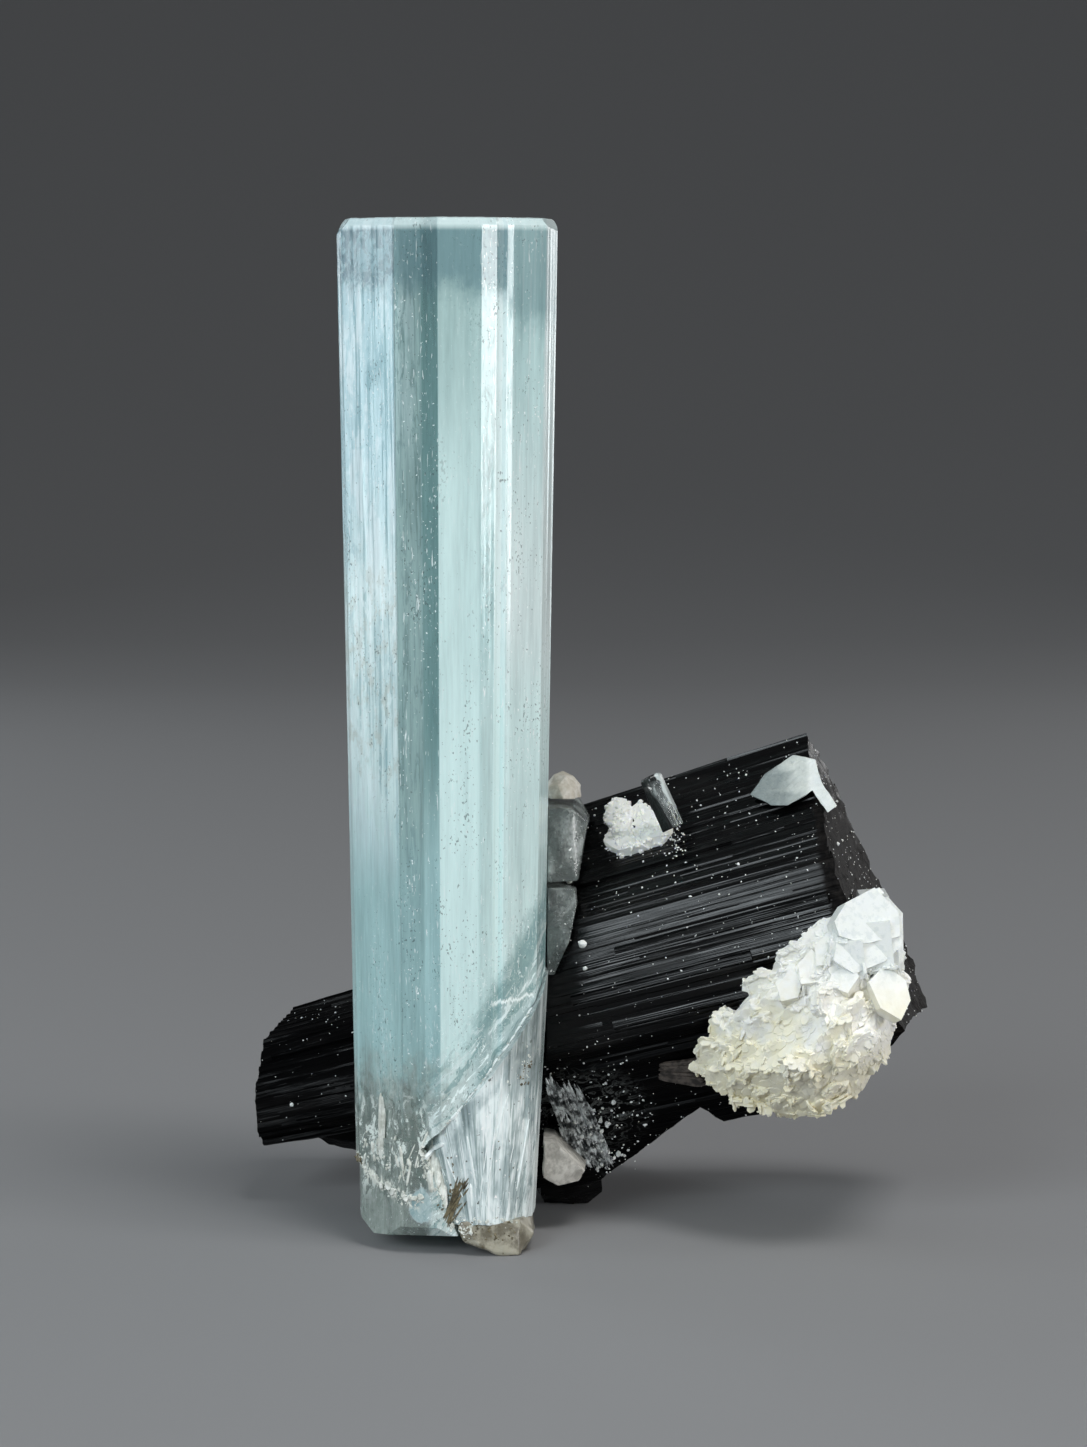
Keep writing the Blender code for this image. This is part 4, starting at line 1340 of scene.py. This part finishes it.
needles = upright_needles(
    "brown_needles",
    [
        (
            -0.2 + rng.uniform(-0.35, 0.35),
            2.9 + rng.uniform(-0.4, 1.0),
            1.3 + rng.uniform(-0.6, 0.5),
            6.2 + rng.uniform(-1.6, 0.9),
            rng.uniform(0.07, 0.24),
        )
        for _ in range(BROWN_NEEDLES)
    ],
)
placings = []
for _ in range(BROWN_FIBRES):
    share = rng.random()
    left_x, left_z = 18.6 + 2.6 * rng.random() ** 2.0, 15.2 - 1.6 * share
    right_x, right_z = 22.6 + rng.uniform(-0.6, 0.3), 16.4 - 3.0 * share
    width = rng.uniform(0.12, 0.4)
    ends = on_face_d(left_x, left_z, 0.1), on_face_d(right_x, right_z, 0.5 + width)
    placings.append(stretch_along(*ends, width))
brown_fibres = copies("brown_fibres", [needle_model(rng) for _ in range(4)], placings)
pale_lines = upright_needles(
    "pale_lines",
    [
        (3.2, 4.4, 4.6, 15.6, 0.17), (2.4, 6.0, 1.6, 10.6, 0.22), (4.4, 3.8, 5.6, 9.4, 0.14),
        (1.2, 5.2, -0.2, 8.6, 0.18), (5.9, 5.4, 7.0, 11.6, 0.18), (3.9, 9.8, 5.2, 14.2, 0.13),
        (0.4, 5.6, -0.6, 7.6, 0.15), (2.0, 4.2, 1.9, 6.4, 0.3), (2.7, 5.0, 3.6, 12.0, 0.12),
    ],
)
print("root details", [len(p.data.polygons) for p in (pale_crumbs, flames, seam, needles)])

# %% [markdown]
# Now the finishes. Aquamarine is clear, but this one is full of fine upright tubes and veils
# that scatter light. Two shaders are mixed: a clear one with beryl's refraction, and a milky
# one of the same gloss. The share of milk is a noise stretched upright, so it lies in
# streaks. The blue fades to colourless near the root, and the clear part tints light by depth.
# Just above the inclined break the crystal is cracked, darker and smoky on the right, with
# slanting shards and curled white lines. Some streaks of the skin are dull.
# The section's own coordinates undo the taper, so a strip follows its edges down the crystal.

# %% Aquamarine finish
BERYL_IOR = 1.577


def aquamarine_look():
    look = Look("aquamarine_streaked")
    x, y, z = look.parts(UPRIGHT, ORIGIN)
    widen = 1.0 + (HEIGHT - z) * NARROWING * 1.06
    x, y = x * widen, y * widen
    place = x, y, z
    beside = look.part(BREAK_NORMAL, at(*BREAK_POINT))

    # Noises: fine upright tubes, then rounder clouds, then small marks.
    streaks = look.noise(place, (0.9, 0.9, 0.05), 3.0, 0.55)
    fine = look.noise(place, (4.0, 4.0, 0.30), 4.0, 0.65)
    lines = look.noise(place, (3.4, 3.4, 0.06), 3.0, 0.6, 0.3)
    ribs = look.noise(place, (3.0, 3.0, 0.02), 3.0, 0.5)
    clouds = look.noise(place, (0.3, 0.3, 0.07), 3.0, 0.5)
    mottle = look.noise(place, (0.8, 0.8, 0.5), 5.0, 0.65)
    smears = look.noise(place, (1.9, 1.9, 0.24), 5.0, 0.68, 1.0)
    billows = look.noise(place, (0.55, 0.55, 0.30), 5.0, 0.62, 1.4)
    flecks = look.noise(place, (1.1, 1.1, 0.75), 6.0, 0.72, 0.9)
    hairs = look.noise(place, (6.0, 6.0, 0.8), 2.0, 0.5, 0.5)
    dots = look.noise(place, (5.0, 5.0, 3.2), 2.0, 0.5)
    sparks = look.noise((x * 4.2 + 20.0, y * 4.2, z * 3.4), (1.0, 1.0, 1.0), 2.0, 0.5)
    slanting = beside * 1.3, x * 0.2 + z * 0.2, y * 0.3
    shards = look.noise(slanting, (1.0, 1.0, 1.0), 4.0, 0.62, 0.4)
    curls = look.noise(place, (0.75, 0.75, 0.75), 2.0, 0.5, 2.2)
    light = clouds + (billows - 0.5) * 0.5 + (smears - 0.5) * 0.35

    # Faces and strips of the prism, from left to right, and its worn top.
    front = y.between(-3.0, -5.0)
    left = x.between(-4.55, -4.75)
    middle = x.between(-4.75, -4.55) * x.between(-2.2, -2.4) * front
    # The dark strip below carries painted shade and the bright one painted highlight, through the
    # milk and colours further down.
    painted_shade_strip = x.between(-2.4, -2.2) * x.between(-0.75, -0.85) * front * z.between(32.0, 48.0)
    right_front = x.between(-0.85, -0.75) * x.between(3.2, 2.8) * front
    painted_highlight_strip = x.between(2.9, 3.3) * x.between(5.5, 5.1) * front * z.between(50.0, 60.0)
    groove = x.between(4.15, 4.35) * x.between(5.35, 5.2) * front
    second = x.between(5.25, 5.35) * x.between(6.0, 5.9) * front
    right = x.between(5.2, 5.5)
    right_rim = x.between(8.45, 8.6)
    rim = z.between(89.0, 89.6)
    cap_foot = 84.4 - left * 0.6 - right * 2.0 + (mottle - 0.5) * 5.0 - x * 0.1
    cap = (z - cap_foot).between(-2.2, 1.4) * (1.0 - rim)

    # The root: rubble at the ledge, and what the inclined break has cracked.
    root = (z + (mottle - 0.5) * 12.0).between(19.0, 11.0)
    ragged = z.between(18.0, 11.0) * z.between(3.0, 7.0, 0.25, 1.0)
    rubble = flecks + (billows - 0.5) * 0.5
    frost = ragged * rubble.between(0.52, 0.60)
    shade = ragged * rubble.between(0.47, 0.39)
    past = (x - 8.3) * 0.859 - (z - 30.5) * 0.512 + (billows - 0.5) * 2.6 + (flecks - 0.5) * 1.4
    smoky = past.between(-0.5, 1.1) * x.between(1.5, 3.0) * y.between(3.0, 1.0)
    curls = abs(curls - 0.5).between(0.014, 0.005) * flecks.between(0.47, 0.53)
    curls = curls * beside.between(9.0, 6.0) * x.between(-3.0, -1.5) * y.between(2.0, 0.0)
    near_break = (beside + (billows - 0.5) * 4.0).between(5.5, 1.5) * x.between(-2.6, -1.2)
    near_break = near_break * y.between(2.0, 0.0)
    pale_shards = shards.between(0.54, 0.60) * near_break
    dark_shards = shards.between(0.47, 0.41) * near_break
    wisp = abs(z - 22.2 + (smears - 0.5) * 1.6 - (x - 6.0) * 0.12).between(0.26, 0.06)
    wisp = wisp * x.between(4.0, 4.4) * x.between(8.6, 8.2) * y.between(2.0, 0.0)
    veil = (beside + (flecks - 0.5) * 4.0).between(3.4, 0.6) * x.between(-2.6, -1.6) * front
    patch_x = (x + 2.9) * 0.82 + (flecks - 0.5) * 0.8
    patch_z = (z - 4.4) * 0.62 + (mottle - 0.5) * 0.8
    patch_reach = abs(patch_x).most(abs(patch_z)).most(abs(patch_z * 0.85 + patch_x * 0.55))
    patch_reach = patch_reach.most(abs(patch_z * 0.9 - patch_x * 0.45))
    patch = patch_reach.between(1.05, 0.85) * front
    patch_edge = patch * (1.0 - patch) * 4.0
    ledge_height = (x + 1.6) ** 2.0 * 0.052 + 4.4
    ledge = abs(z - ledge_height + (mottle - 0.5) * 3.0 + (smears - 0.5) * 1.2)
    ledge = ledge.between(0.8, 0.1) * x.between(-2.6, -3.4) * y.between(2.0, 0.0)
    ledge = ledge * flecks.between(0.42, 0.54)

    # White hairs and dark dots, thinner where the stone is calm.
    busy = (clouds - 0.5) * 0.5 + (smears - 0.5) * 0.3
    calm = 1.0 - right_front * 0.6 - cap * 0.3 - left * 0.3
    white_hairs = (hairs + busy * 0.5).between(0.655, 0.71) * z.between(12.0, 20.0, 0.35, 0.9)
    white_hairs = (white_hairs * calm).most((sparks + busy * 0.4).between(0.69, 0.72) * calm)
    dark_dots = (dots + (clouds + mottle - 1.0) * 0.45).between(0.69, 0.725) * 0.65
    dark_dots = dark_dots * (1.0 - right_front * z.between(45.0, 60.0) * 0.6)

    # The share of milk. Its terms for the faces and strips paint light and shade: more milk
    # makes a face lighter and less makes it darker, and the bright strip's extra milk, broken
    # into patches, is a painted highlight.
    milk = (
        0.74
        + (streaks - 0.5) * 0.35
        + (fine - 0.5) * 0.30
        + (clouds - 0.5) * 0.35
        - middle * 0.12
        - painted_shade_strip * 0.16
        + right_front * 0.06
        + painted_highlight_strip * 0.12
        + cap * 0.05
        - root * 0.22
        - painted_highlight_strip * (smears - 0.45) * 0.8
        - painted_highlight_strip * (billows - 0.40) * 1.0
        + rim * 0.2
        + groove * 0.25
    )
    share = milk.between(0.1, 1.0, 0.12, 0.96)
    for milky_part in (
        white_hairs, dark_dots, frost * 0.9, patch * 0.8, shade * 0.7, veil * 0.8, curls, wisp,
        pale_shards, ledge,
    ):
        share = share.most(milky_part)

    # The colour of the milky part, face by face, then the dark cap and the root. The face
    # colours, lighter or darker from face to face and up each face, are painted light and shade:
    # they stand for how the lamps fall on each face and what it reflects.
    dark_left = left * z.between(56.0, 64.0, 0.35, 0.7)
    pools = (light.between(0.52, 0.44)).most(lines.between(0.46, 0.40)) * left
    pools = pools * z.between(38.0, 44.0) * z.between(63.0, 57.0)
    warm = left * z.between(38.0, 44.0) * z.between(66.0, 56.0)
    hazy = middle * z.between(66.0, 74.0) * x.between(-2.6, -3.2) * light.between(0.60, 0.45)
    merged = z.between(41.0, 30.0) * x.between(-0.75, -0.85) * 0.85
    left_blue_painted_light = look.blend(z.between(72.0, 55.0), (0.47, 0.72, 0.78), (0.74, 0.93, 0.92))
    front_blue_painted_light = look.blend(z.between(84.0, 60.0), (0.45, 0.62, 0.60), (0.74, 0.94, 0.92))
    right_blue_painted_light = look.blend(z.between(84.0, 55.0), (0.60, 0.84, 0.83), (0.90, 1.0, 0.985))
    blue = look.layered(
        look.blend(streaks.between(0.3, 0.7), (0.46, 0.70, 0.70), (0.60, 0.82, 0.81)),
        [
            (left, left_blue_painted_light),
            (middle * 0.9, (0.40, 0.57, 0.55)),
            (painted_shade_strip, (0.25, 0.43, 0.42)),
            (right_front * 0.8, front_blue_painted_light),
            (light.between(0.52, 0.66) * dark_left, (0.26, 0.48, 0.54)),
            (light.between(0.49, 0.36) * left * 0.7, (0.82, 0.97, 1.0)),
            (lines.between(0.55, 0.62) * left * 0.55, (0.16, 0.35, 0.40)),
            (pools, (0.84, 1.0, 1.0)),
            (mottle.between(0.50, 0.62) * warm * 0.6, (0.60, 0.66, 0.60)),
            (hazy * 0.7, (0.60, 0.78, 0.78)),
            (smears.between(0.50, 0.62) * middle * 0.6, (0.18, 0.30, 0.30)),
            (lines.between(0.54, 0.64) * middle * 0.5, (0.20, 0.33, 0.33)),
            (right * 0.8, right_blue_painted_light),
            (lines.between(0.54, 0.66) * right * 0.35, (0.90, 0.98, 0.97)),
            (right_rim * 0.8, (0.90, 1.0, 0.99)),
            (groove * 0.9, (0.84, 0.97, 0.96)),
            (merged, look.blend(left, (0.44, 0.68, 0.69), (0.40, 0.64, 0.64))),
            (z.between(57.0, 45.0) * x.between(2.6, 3.4) * 0.8, (0.70, 0.90, 0.88)),
        ],
    )
    blotch = (flecks * 0.6 + mottle * 0.4).between(0.45, 0.56) * left
    dim = look.blend(left, (0.165, 0.295, 0.32), (0.06, 0.15, 0.19))
    dim = look.blend(blotch, dim, (0.32, 0.50, 0.55))
    patch_blue = look.blend(flecks.between(0.4, 0.6), (0.32, 0.50, 0.54), (0.56, 0.72, 0.74))
    tint = look.layered(
        look.blend(cap * (0.85 - right * 0.25), blue, dim),
        [
            (root, (0.50, 0.58, 0.53)),
            (shade * 0.8, (0.13, 0.18, 0.16)),
            (frost * 0.85, (0.84, 0.91, 0.87)),
            (patch * 0.75, patch_blue),
            (patch_edge * 0.5, (0.80, 0.88, 0.88)),
            (smoky * 0.92, (0.26, 0.42, 0.42)),
            (veil * 0.55, (0.82, 0.95, 0.94)),
            (dark_shards * 0.7, (0.22, 0.38, 0.38)),
            (pale_shards * 0.8, (0.86, 0.97, 0.96)),
            ((curls * 0.8).most(wisp), (0.88, 0.97, 0.96)),
            (ledge, (0.84, 0.86, 0.78)),
            (rim * 0.7, (0.72, 0.84, 0.84)),
            (white_hairs, (0.88, 0.95, 0.94)),
            (dark_dots, (0.07, 0.11, 0.11)),
        ],
    )
    clear_tint = look.blend(root, (0.70, 0.93, 0.95), (0.94, 0.98, 0.96))

    # Its gloss, dull in some streaks, and its relief.
    dull_streaks = lines.between(0.53, 0.60).most(light.between(0.55, 0.62) * 0.7)
    dull_streaks = dull_streaks.most(blotch * cap * 0.6) * left * 0.55
    patchy = (smears * 0.6 + billows * 0.4).between(0.49, 0.58)
    dull_streaks = dull_streaks.most(second.most(painted_highlight_strip * 0.5) * patchy * 0.55)
    relief = ribs * 0.35 + fine * 0.3 + smears * 0.4 + mottle * left * 0.5 - dark_dots * 0.4
    normal = look.bump(relief, 0.00004, 0.6)
    roughness = (fine * 0.2).most(left * 0.16).most(dull_streaks)
    stone = look.stone(share, BERYL_IOR, normal, (clear_tint, 0.06), (tint, roughness))
    depth = look.add(
        "ShaderNodeVolumeAbsorption", {}, {"Color": (0.55, 0.88, 0.92), "Density": 22.0}
    )
    return look.finish(stone, depth)


dress(aquamarine, aquamarine_look())
print("aquamarine finished")

# %% [markdown]
# The colourless beryl, the quartz and the little prism are made the same way: a clear shader
# and a veiled one, shared by a noise, with a colour of their own. Marks darken or whiten what
# lies past a plane, and the root block's veils and blades fan out from below.

# %% Clear stones finish


def clear_look(name, ior, veil, veil_tint, clear_tint, sizes, veiled, fan=None, marks=()):
    """A clear stone with veils in it. The sizes are the veils' repeats per millimetre, the veil
    is the least and greatest share of it, and a fan is the (x, z) that the veils spread from.
    A mark is (centre, direction, near, far, strength, colour): its colour begins at the near
    distance from the centre along the direction, and is full at the far one."""
    look = Look(name)
    place = x, y, z = look.parts(UPRIGHT, ORIGIN)
    if fan:
        x = (x - fan[0]) * (z - fan[1]) ** -1.0 * (12.0 - fan[1])
        place = x, y, z
    veils = look.noise(place, (sizes[0], sizes[0], sizes[1]), 4.0, 0.6)
    fine = look.noise(place, (5.0, 5.0, 5.0 * sizes[1] / sizes[0]), 3.0, 0.6)
    bars = veils.between(veiled - 0.08, veiled + 0.08)
    clouds = look.noise(place, (0.35, 0.35, 0.25), 3.0, 0.55, 1.0)
    share = (bars * (veil[1] - veil[0]) + veil[0]) + (fine - 0.5) * 0.35 + (clouds - 0.5) * 0.8
    mixed = bars * 0.2 + (clouds - 0.5) * 2.2 + (fine - 0.5) * 1.1 + 0.42
    tint = look.blend(mixed.between(0.0, 1.0), veil_tint[0], veil_tint[1])
    specks = look.noise(place, (2.2, 2.2, 2.0), 3.0, 0.6)
    white_specks, dark_specks = specks.between(0.66, 0.70), specks.between(0.34, 0.30)
    tint = look.layered(
        tint, [(white_specks, (0.95, 0.96, 0.94)), (dark_specks, (0.10, 0.11, 0.10))]
    )
    share = share.most(white_specks).most(dark_specks)
    if fan:
        blades = look.noise(place, (2.2, 2.2, 0.07), 3.0, 0.6, 0.3)
        dark_blades, white_blades = blades.between(0.43, 0.39), blades.between(0.58, 0.61)
        tint = look.blend(dark_blades * 0.75, tint, (0.30, 0.40, 0.40))
        tint = look.blend(white_blades * 0.75, tint, (0.95, 1.0, 0.99))
        share = share.most(white_blades * 0.9)
    for centre, direction, near, far, strength, colour in marks:
        marked = (look.part(direction, centre) + (clouds - 0.5) * 2.0 * far).between(near, far)
        tint = look.blend(marked * strength, tint, colour)
        share = share.most(marked * strength * 0.9)
    normal = look.bump(fine + veils, 0.00006, 0.7)
    share = share.between(0.0, 1.0)
    return look.finish(look.stone(share, ior, normal, (clear_tint, 0.08), (tint, 0.2)))


ROOT_BERYL = clear_look(
    "clear_beryl_ribbed", BERYL_IOR, (0.66, 0.78), ((0.54, 0.67, 0.68), (0.90, 0.98, 0.97)),
    (0.94, 0.98, 0.98), (1.1, 0.12), 0.50, (3.4, -9.0),
    [
        (at(5.0, 0.0, 13.6), Vector((0.5, 0.0, 0.87)), 0.0, 3.6, 0.55, (0.20, 0.24, 0.235)),
        (at(7.2, 0.0, 8.0), Vector((1.0, 0.0, -0.12)), 0.1, 0.5, 0.9, (0.86, 0.94, 0.93)),
    ],
)
QUARTZ = clear_look(
    "quartz_veiled", 1.544, (0.45, 0.65), ((0.22, 0.25, 0.24), (0.46, 0.50, 0.48)),
    (0.84, 0.88, 0.86), (0.45, 0.3), 0.56,
)
PRISM_MIDDLE = sum((vertex.co for vertex in prism.data.vertices), Vector()) / len(
    prism.data.vertices
)
# The little prism's marks paint light and shade: its left side is painted near black as shade, its
# right edge painted light grey as a highlight, and its top end is darkened.
SMALL_BERYL = clear_look(
    "small_beryl_clear", BERYL_IOR, (0.2, 0.5), ((0.05, 0.06, 0.06), (0.50, 0.55, 0.54)),
    (0.93, 0.97, 0.96), (1.2, 0.3), 0.58, None,
    [
        (PRISM_MIDDLE, Vector((-0.85, 0.0, -0.53)), 0.15, 0.6, 1.0, (0.006, 0.007, 0.007)),
        (PRISM_MIDDLE, Vector((-0.53, 0.0, 0.85)), 1.7, 2.1, 1.0, (0.010, 0.012, 0.012)),
        (PRISM_MIDDLE, Vector((0.85, 0.0, 0.53)), 0.75, 0.95, 1.0, (0.50, 0.55, 0.54)),
    ],
)
dress(root_block, ROOT_BERYL)
dress(quartz_upper, QUARTZ)
dress(quartz_lower, QUARTZ)
dress(prism, SMALL_BERYL)
print("clear stones finished")

# %% [markdown]
# Schorl is opaque black with a glassy shine. Its finish is almost no colour and fine relief
# along the growth direction, which follows the taper, with roughness that changes from rib to
# rib. The lower faces and the small crystal shine less, which paints shade on them, and the
# broken right end is dull.

# %% Tourmaline finish


def schorl_look():
    look = Look("schorl_striated")
    along, up, across = look.parts(GROWTH, SCHORL_MIDDLE)
    slim = (1.0 + along * FLARE) ** -1.0
    up, across = up * slim, across * slim
    place = along, up, across
    ribs = look.noise(place, (0.002, 2.4, 2.4), 3.0, 0.6)
    hairs = look.noise(place, (0.01, 7.0, 7.0), 2.0, 0.55)
    patches = look.noise(place, (0.10, 0.4, 0.4), 3.0, 0.6)
    crumbs = look.noise(place, (1.2, 1.6, 1.6), 4.0, 0.7)
    broken = (along + (crumbs - 0.5) * 0.8).between(SCHORL_RIGHT - 1.9, SCHORL_RIGHT - 1.3)
    web = look.noise(place, (0.7, 0.9, 0.9), 4.0, 0.6, 0.6)
    away = look.add(
        "ShaderNodeVectorMath", {"operation": "DISTANCE"}, {0: look.place, 1: CRUST_SIDE}, "Value"
    )
    lace = (1.0 - abs(web - 0.5) * 24.0).between(0.0, 1.0) * away.between(0.0070, 0.002)
    black = look.blend(
        patches.between(0.5, 0.75), (0.0008, 0.0008, 0.001), (0.004, 0.0035, 0.0035)
    )
    base = look.blend(lace, black, (0.13, 0.135, 0.13))
    relief = look.bump(ribs * 0.5 + hairs * 0.5, 0.0001, 0.8)
    glassy = look.shader(
        {
            "Base Color": base,
            "Roughness": (patches + (ribs - 0.5) * 0.5).between(0.35, 0.7, 0.10, 0.34),
            "IOR": 1.64,
            "Specular IOR Level": 0.20,
            "Normal": relief,
        }
    )
    # Painted shade: the lower faces and the small crystal get almost no shine, so they reflect
    # little of the lit floor.
    painted_shade_low_shine = look.shader(
        {"Base Color": base, "Roughness": 0.3, "Specular IOR Level": 0.05, "Normal": relief}
    )
    under = (up + (patches - 0.5) * 2.0).between(-4.6, -6.2) * across.between(0.0, -3.0)
    under = under.most(along.between(SCHORL_LEFT + 1.5, SCHORL_LEFT) * 0.8)
    dull = look.shader(
        {
            "Base Color": look.blend(
                crumbs.between(0.4, 0.65), (0.003, 0.0025, 0.0025), (0.014, 0.012, 0.011)
            ),
            "Roughness": 0.6,
            "Specular IOR Level": 0.08,
            "Normal": look.bump(crumbs + ribs, 0.0002, 0.8),
        }
    )
    return look.finish(look.shared(broken, look.shared(under, glassy, painted_shade_low_shine), dull))


SCHORL = schorl_look()
dress(schorl, SCHORL)
print("tourmaline finished")

# %% [markdown]
# Albite is white and pearly, cream where iron has stained it. Feldspar, the crusts and the
# crumbs are stony: a mottle between two colours, with a fine bump.

# %% Stony finishes


def stony_look(name, first, second, size, roughness, glow=0.0):
    """A mottle of two colours with this many repeats in a millimetre."""
    look = Look(name)
    place = x, y, z = look.parts(UPRIGHT, ORIGIN)
    mottle = look.noise(place, (size, size, size), 4.0, 0.65)
    normal = look.bump(mottle, 0.00012, 0.7)
    colour = look.blend(mottle.between(0.38, 0.62), first, second)
    return look.finish(look.pearly(colour, roughness, glow, (0.0012, 0.0011, 0.0008), normal))


def albite_look():
    look = Look("albite_pearly")
    place = x, y, z = look.parts(UPRIGHT, ORIGIN)
    cloud = look.noise(place, (0.2, 0.2, 0.2), 3.0, 0.6)
    speck = look.noise(place, (1.6, 1.6, 1.6), 4.0, 0.65)
    low = (z + (cloud - 0.5) * 10.0).between(20.0, 13.0)
    cream = cloud.between(0.42, 0.60) * z.between(26.0, 19.0) * 0.9
    white = look.blend(speck.between(0.35, 0.7), (0.97, 0.96, 0.91), (0.92, 0.90, 0.82))
    # The cleaved upper right is painted shade: its white is greyed, with darker specks, to tone
    # down how brightly the lamps light it.
    cleaved_painted_shade = (x + (cloud - 0.5) * 3.0).between(31.0, 34.0) * z.between(23.0, 26.0)
    colour = look.layered(
        white,
        [
            (cream, (0.94, 0.88, 0.68)),
            (low * 0.75, (0.92, 0.85, 0.63)),
            (cleaved_painted_shade * 0.8, (0.80, 0.835, 0.815)),
            (cleaved_painted_shade * speck.between(0.50, 0.60) * 0.5, (0.66, 0.71, 0.70)),
        ],
    )
    normal = look.bump(speck, 0.00008, 0.5)
    roughness = speck.between(0.3, 0.7, 0.28, 0.5)
    return look.finish(look.pearly(colour, roughness, 0.3, (0.0018, 0.0017, 0.0013), normal))


def plate_look():
    """A translucent plate, grey on the left and whiter towards its tab on the right."""
    look = Look("albite_plate")
    place = x, y, z = look.parts(UPRIGHT, ORIGIN)
    cloud = look.noise(place, (0.45, 0.45, 0.45), 3.0, 0.6, 0.6)
    speck = look.noise(place, (1.8, 1.8, 1.8), 3.0, 0.6)
    white = (x + z * 0.3 + (cloud - 0.5) * 7.0).between(40.0, 44.0)
    colour = look.blend(white, (0.27, 0.31, 0.305), (0.64, 0.68, 0.645))
    colour = look.blend(x.between(31.6, 32.2), colour, (0.86, 0.89, 0.86))
    normal = look.bump(cloud + speck * 0.5, 0.0003, 0.7)
    roughness = speck.between(0.3, 0.7, 0.15, 0.4)
    return look.finish(look.pearly(colour, roughness, 0.2, (0.0012, 0.0011, 0.0009), normal))


ALBITE = albite_look()
PLATE = plate_look()
WHITE = stony_look("albite_grain", (0.97, 0.98, 0.96), (0.84, 0.86, 0.83), 1.5, 0.45, 0.1)
CRUST = stony_look("crust_silvery", (0.02, 0.024, 0.026), (0.96, 1.0, 1.0), 1.1, 0.3)
WARM = stony_look("albite_warm", (1.0, 1.0, 0.95), (0.96, 0.96, 0.89), 0.8, 0.45, 0.4)
KNOB = stony_look("feldspar_tan", (0.48, 0.44, 0.36), (0.68, 0.65, 0.58), 0.8, 0.45, 0.1)
MATRIX = stony_look("feldspar_grey", (0.36, 0.345, 0.31), (0.62, 0.60, 0.55), 0.9, 0.6)
NUB = stony_look("feldspar_cream", (0.14, 0.125, 0.09), (0.36, 0.34, 0.27), 0.7, 0.35, 0.15)
VEIN = stony_look("pale_vein", (0.93, 0.97, 0.96), (0.80, 0.88, 0.87), 1.2, 0.3)
CREAM = stony_look("cream_crumbs", (0.80, 0.82, 0.77), (0.56, 0.58, 0.52), 1.2, 0.4)
RUST = stony_look("rusty_crumbs", (0.20, 0.17, 0.10), (0.06, 0.05, 0.03), 1.2, 0.5)
BROWN = stony_look("brown_striated", (0.020, 0.016, 0.014), (0.10, 0.082, 0.07), 1.6, 0.4)
for piece in (flakes, cleavage, NODES["albite_cluster"]):
    dress(piece, ALBITE)
for piece in (lobes, grains):
    dress(piece, WARM)
for piece in (nodules, specks):
    dress(piece, WHITE)
dress(fibres, CRUST)
for piece, finish in (
    (plate, PLATE), (knob, KNOB), (matrix, MATRIX), (nub, NUB), (pale_crumbs, CREAM),
    (flames, CREAM), (seam, VEIN), (rusty_crumbs, RUST), (needles, RUST), (brown_fibres, BROWN),
    (pale_lines, VEIN),
):
    dress(piece, finish)
for piece in (flakes, cleavage, lobes, grains, nodules, specks, fibres):
    smooth_to(piece, 30.0)
print("stony finishes ready")

# %% [markdown]
# Last, each piece rides on the model's root, and takes the place of its node where it has one.

# %% Finish
REPLACED = (
    (aquamarine, "aquamarine_crystal", "aquamarine"),
    (root_block, "clear_root_block", "clear_beryl"),
    (nub, "foot_nub", "feldspar"),
    (schorl, "schorl_crystal", "schorl"),
    (quartz_upper, "quartz_block_upper", "smoky_quartz"),
    (quartz_lower, "quartz_block_lower", "smoky_quartz"),
    (prism, "small_beryl", "clear_beryl"),
    (knob, "feldspar_knob", "feldspar"),
    (matrix, "feldspar_matrix", "feldspar"),
    (plate, "albite_plate", "albite"),
    (lobes, "albite_patch", "albite"),
    (fibres, "albite_crust", "albite"),
)
ADDED = (
    (flakes, "albite"), (cleavage, "albite"), (grains, "albite"),
    (nodules, "albite"), (specks, "albite"), (pale_crumbs, "feldspar"), (flames, "feldspar"),
    (seam, "feldspar"), (rusty_crumbs, "feldspar"), (needles, "feldspar"),
    (brown_fibres, "feldspar"), (pale_lines, "clear_beryl"),
)
for piece, node, slot in REPLACED:
    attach(piece, "root")
    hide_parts(node)
for piece, slot in ADDED:
    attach(piece, "root")
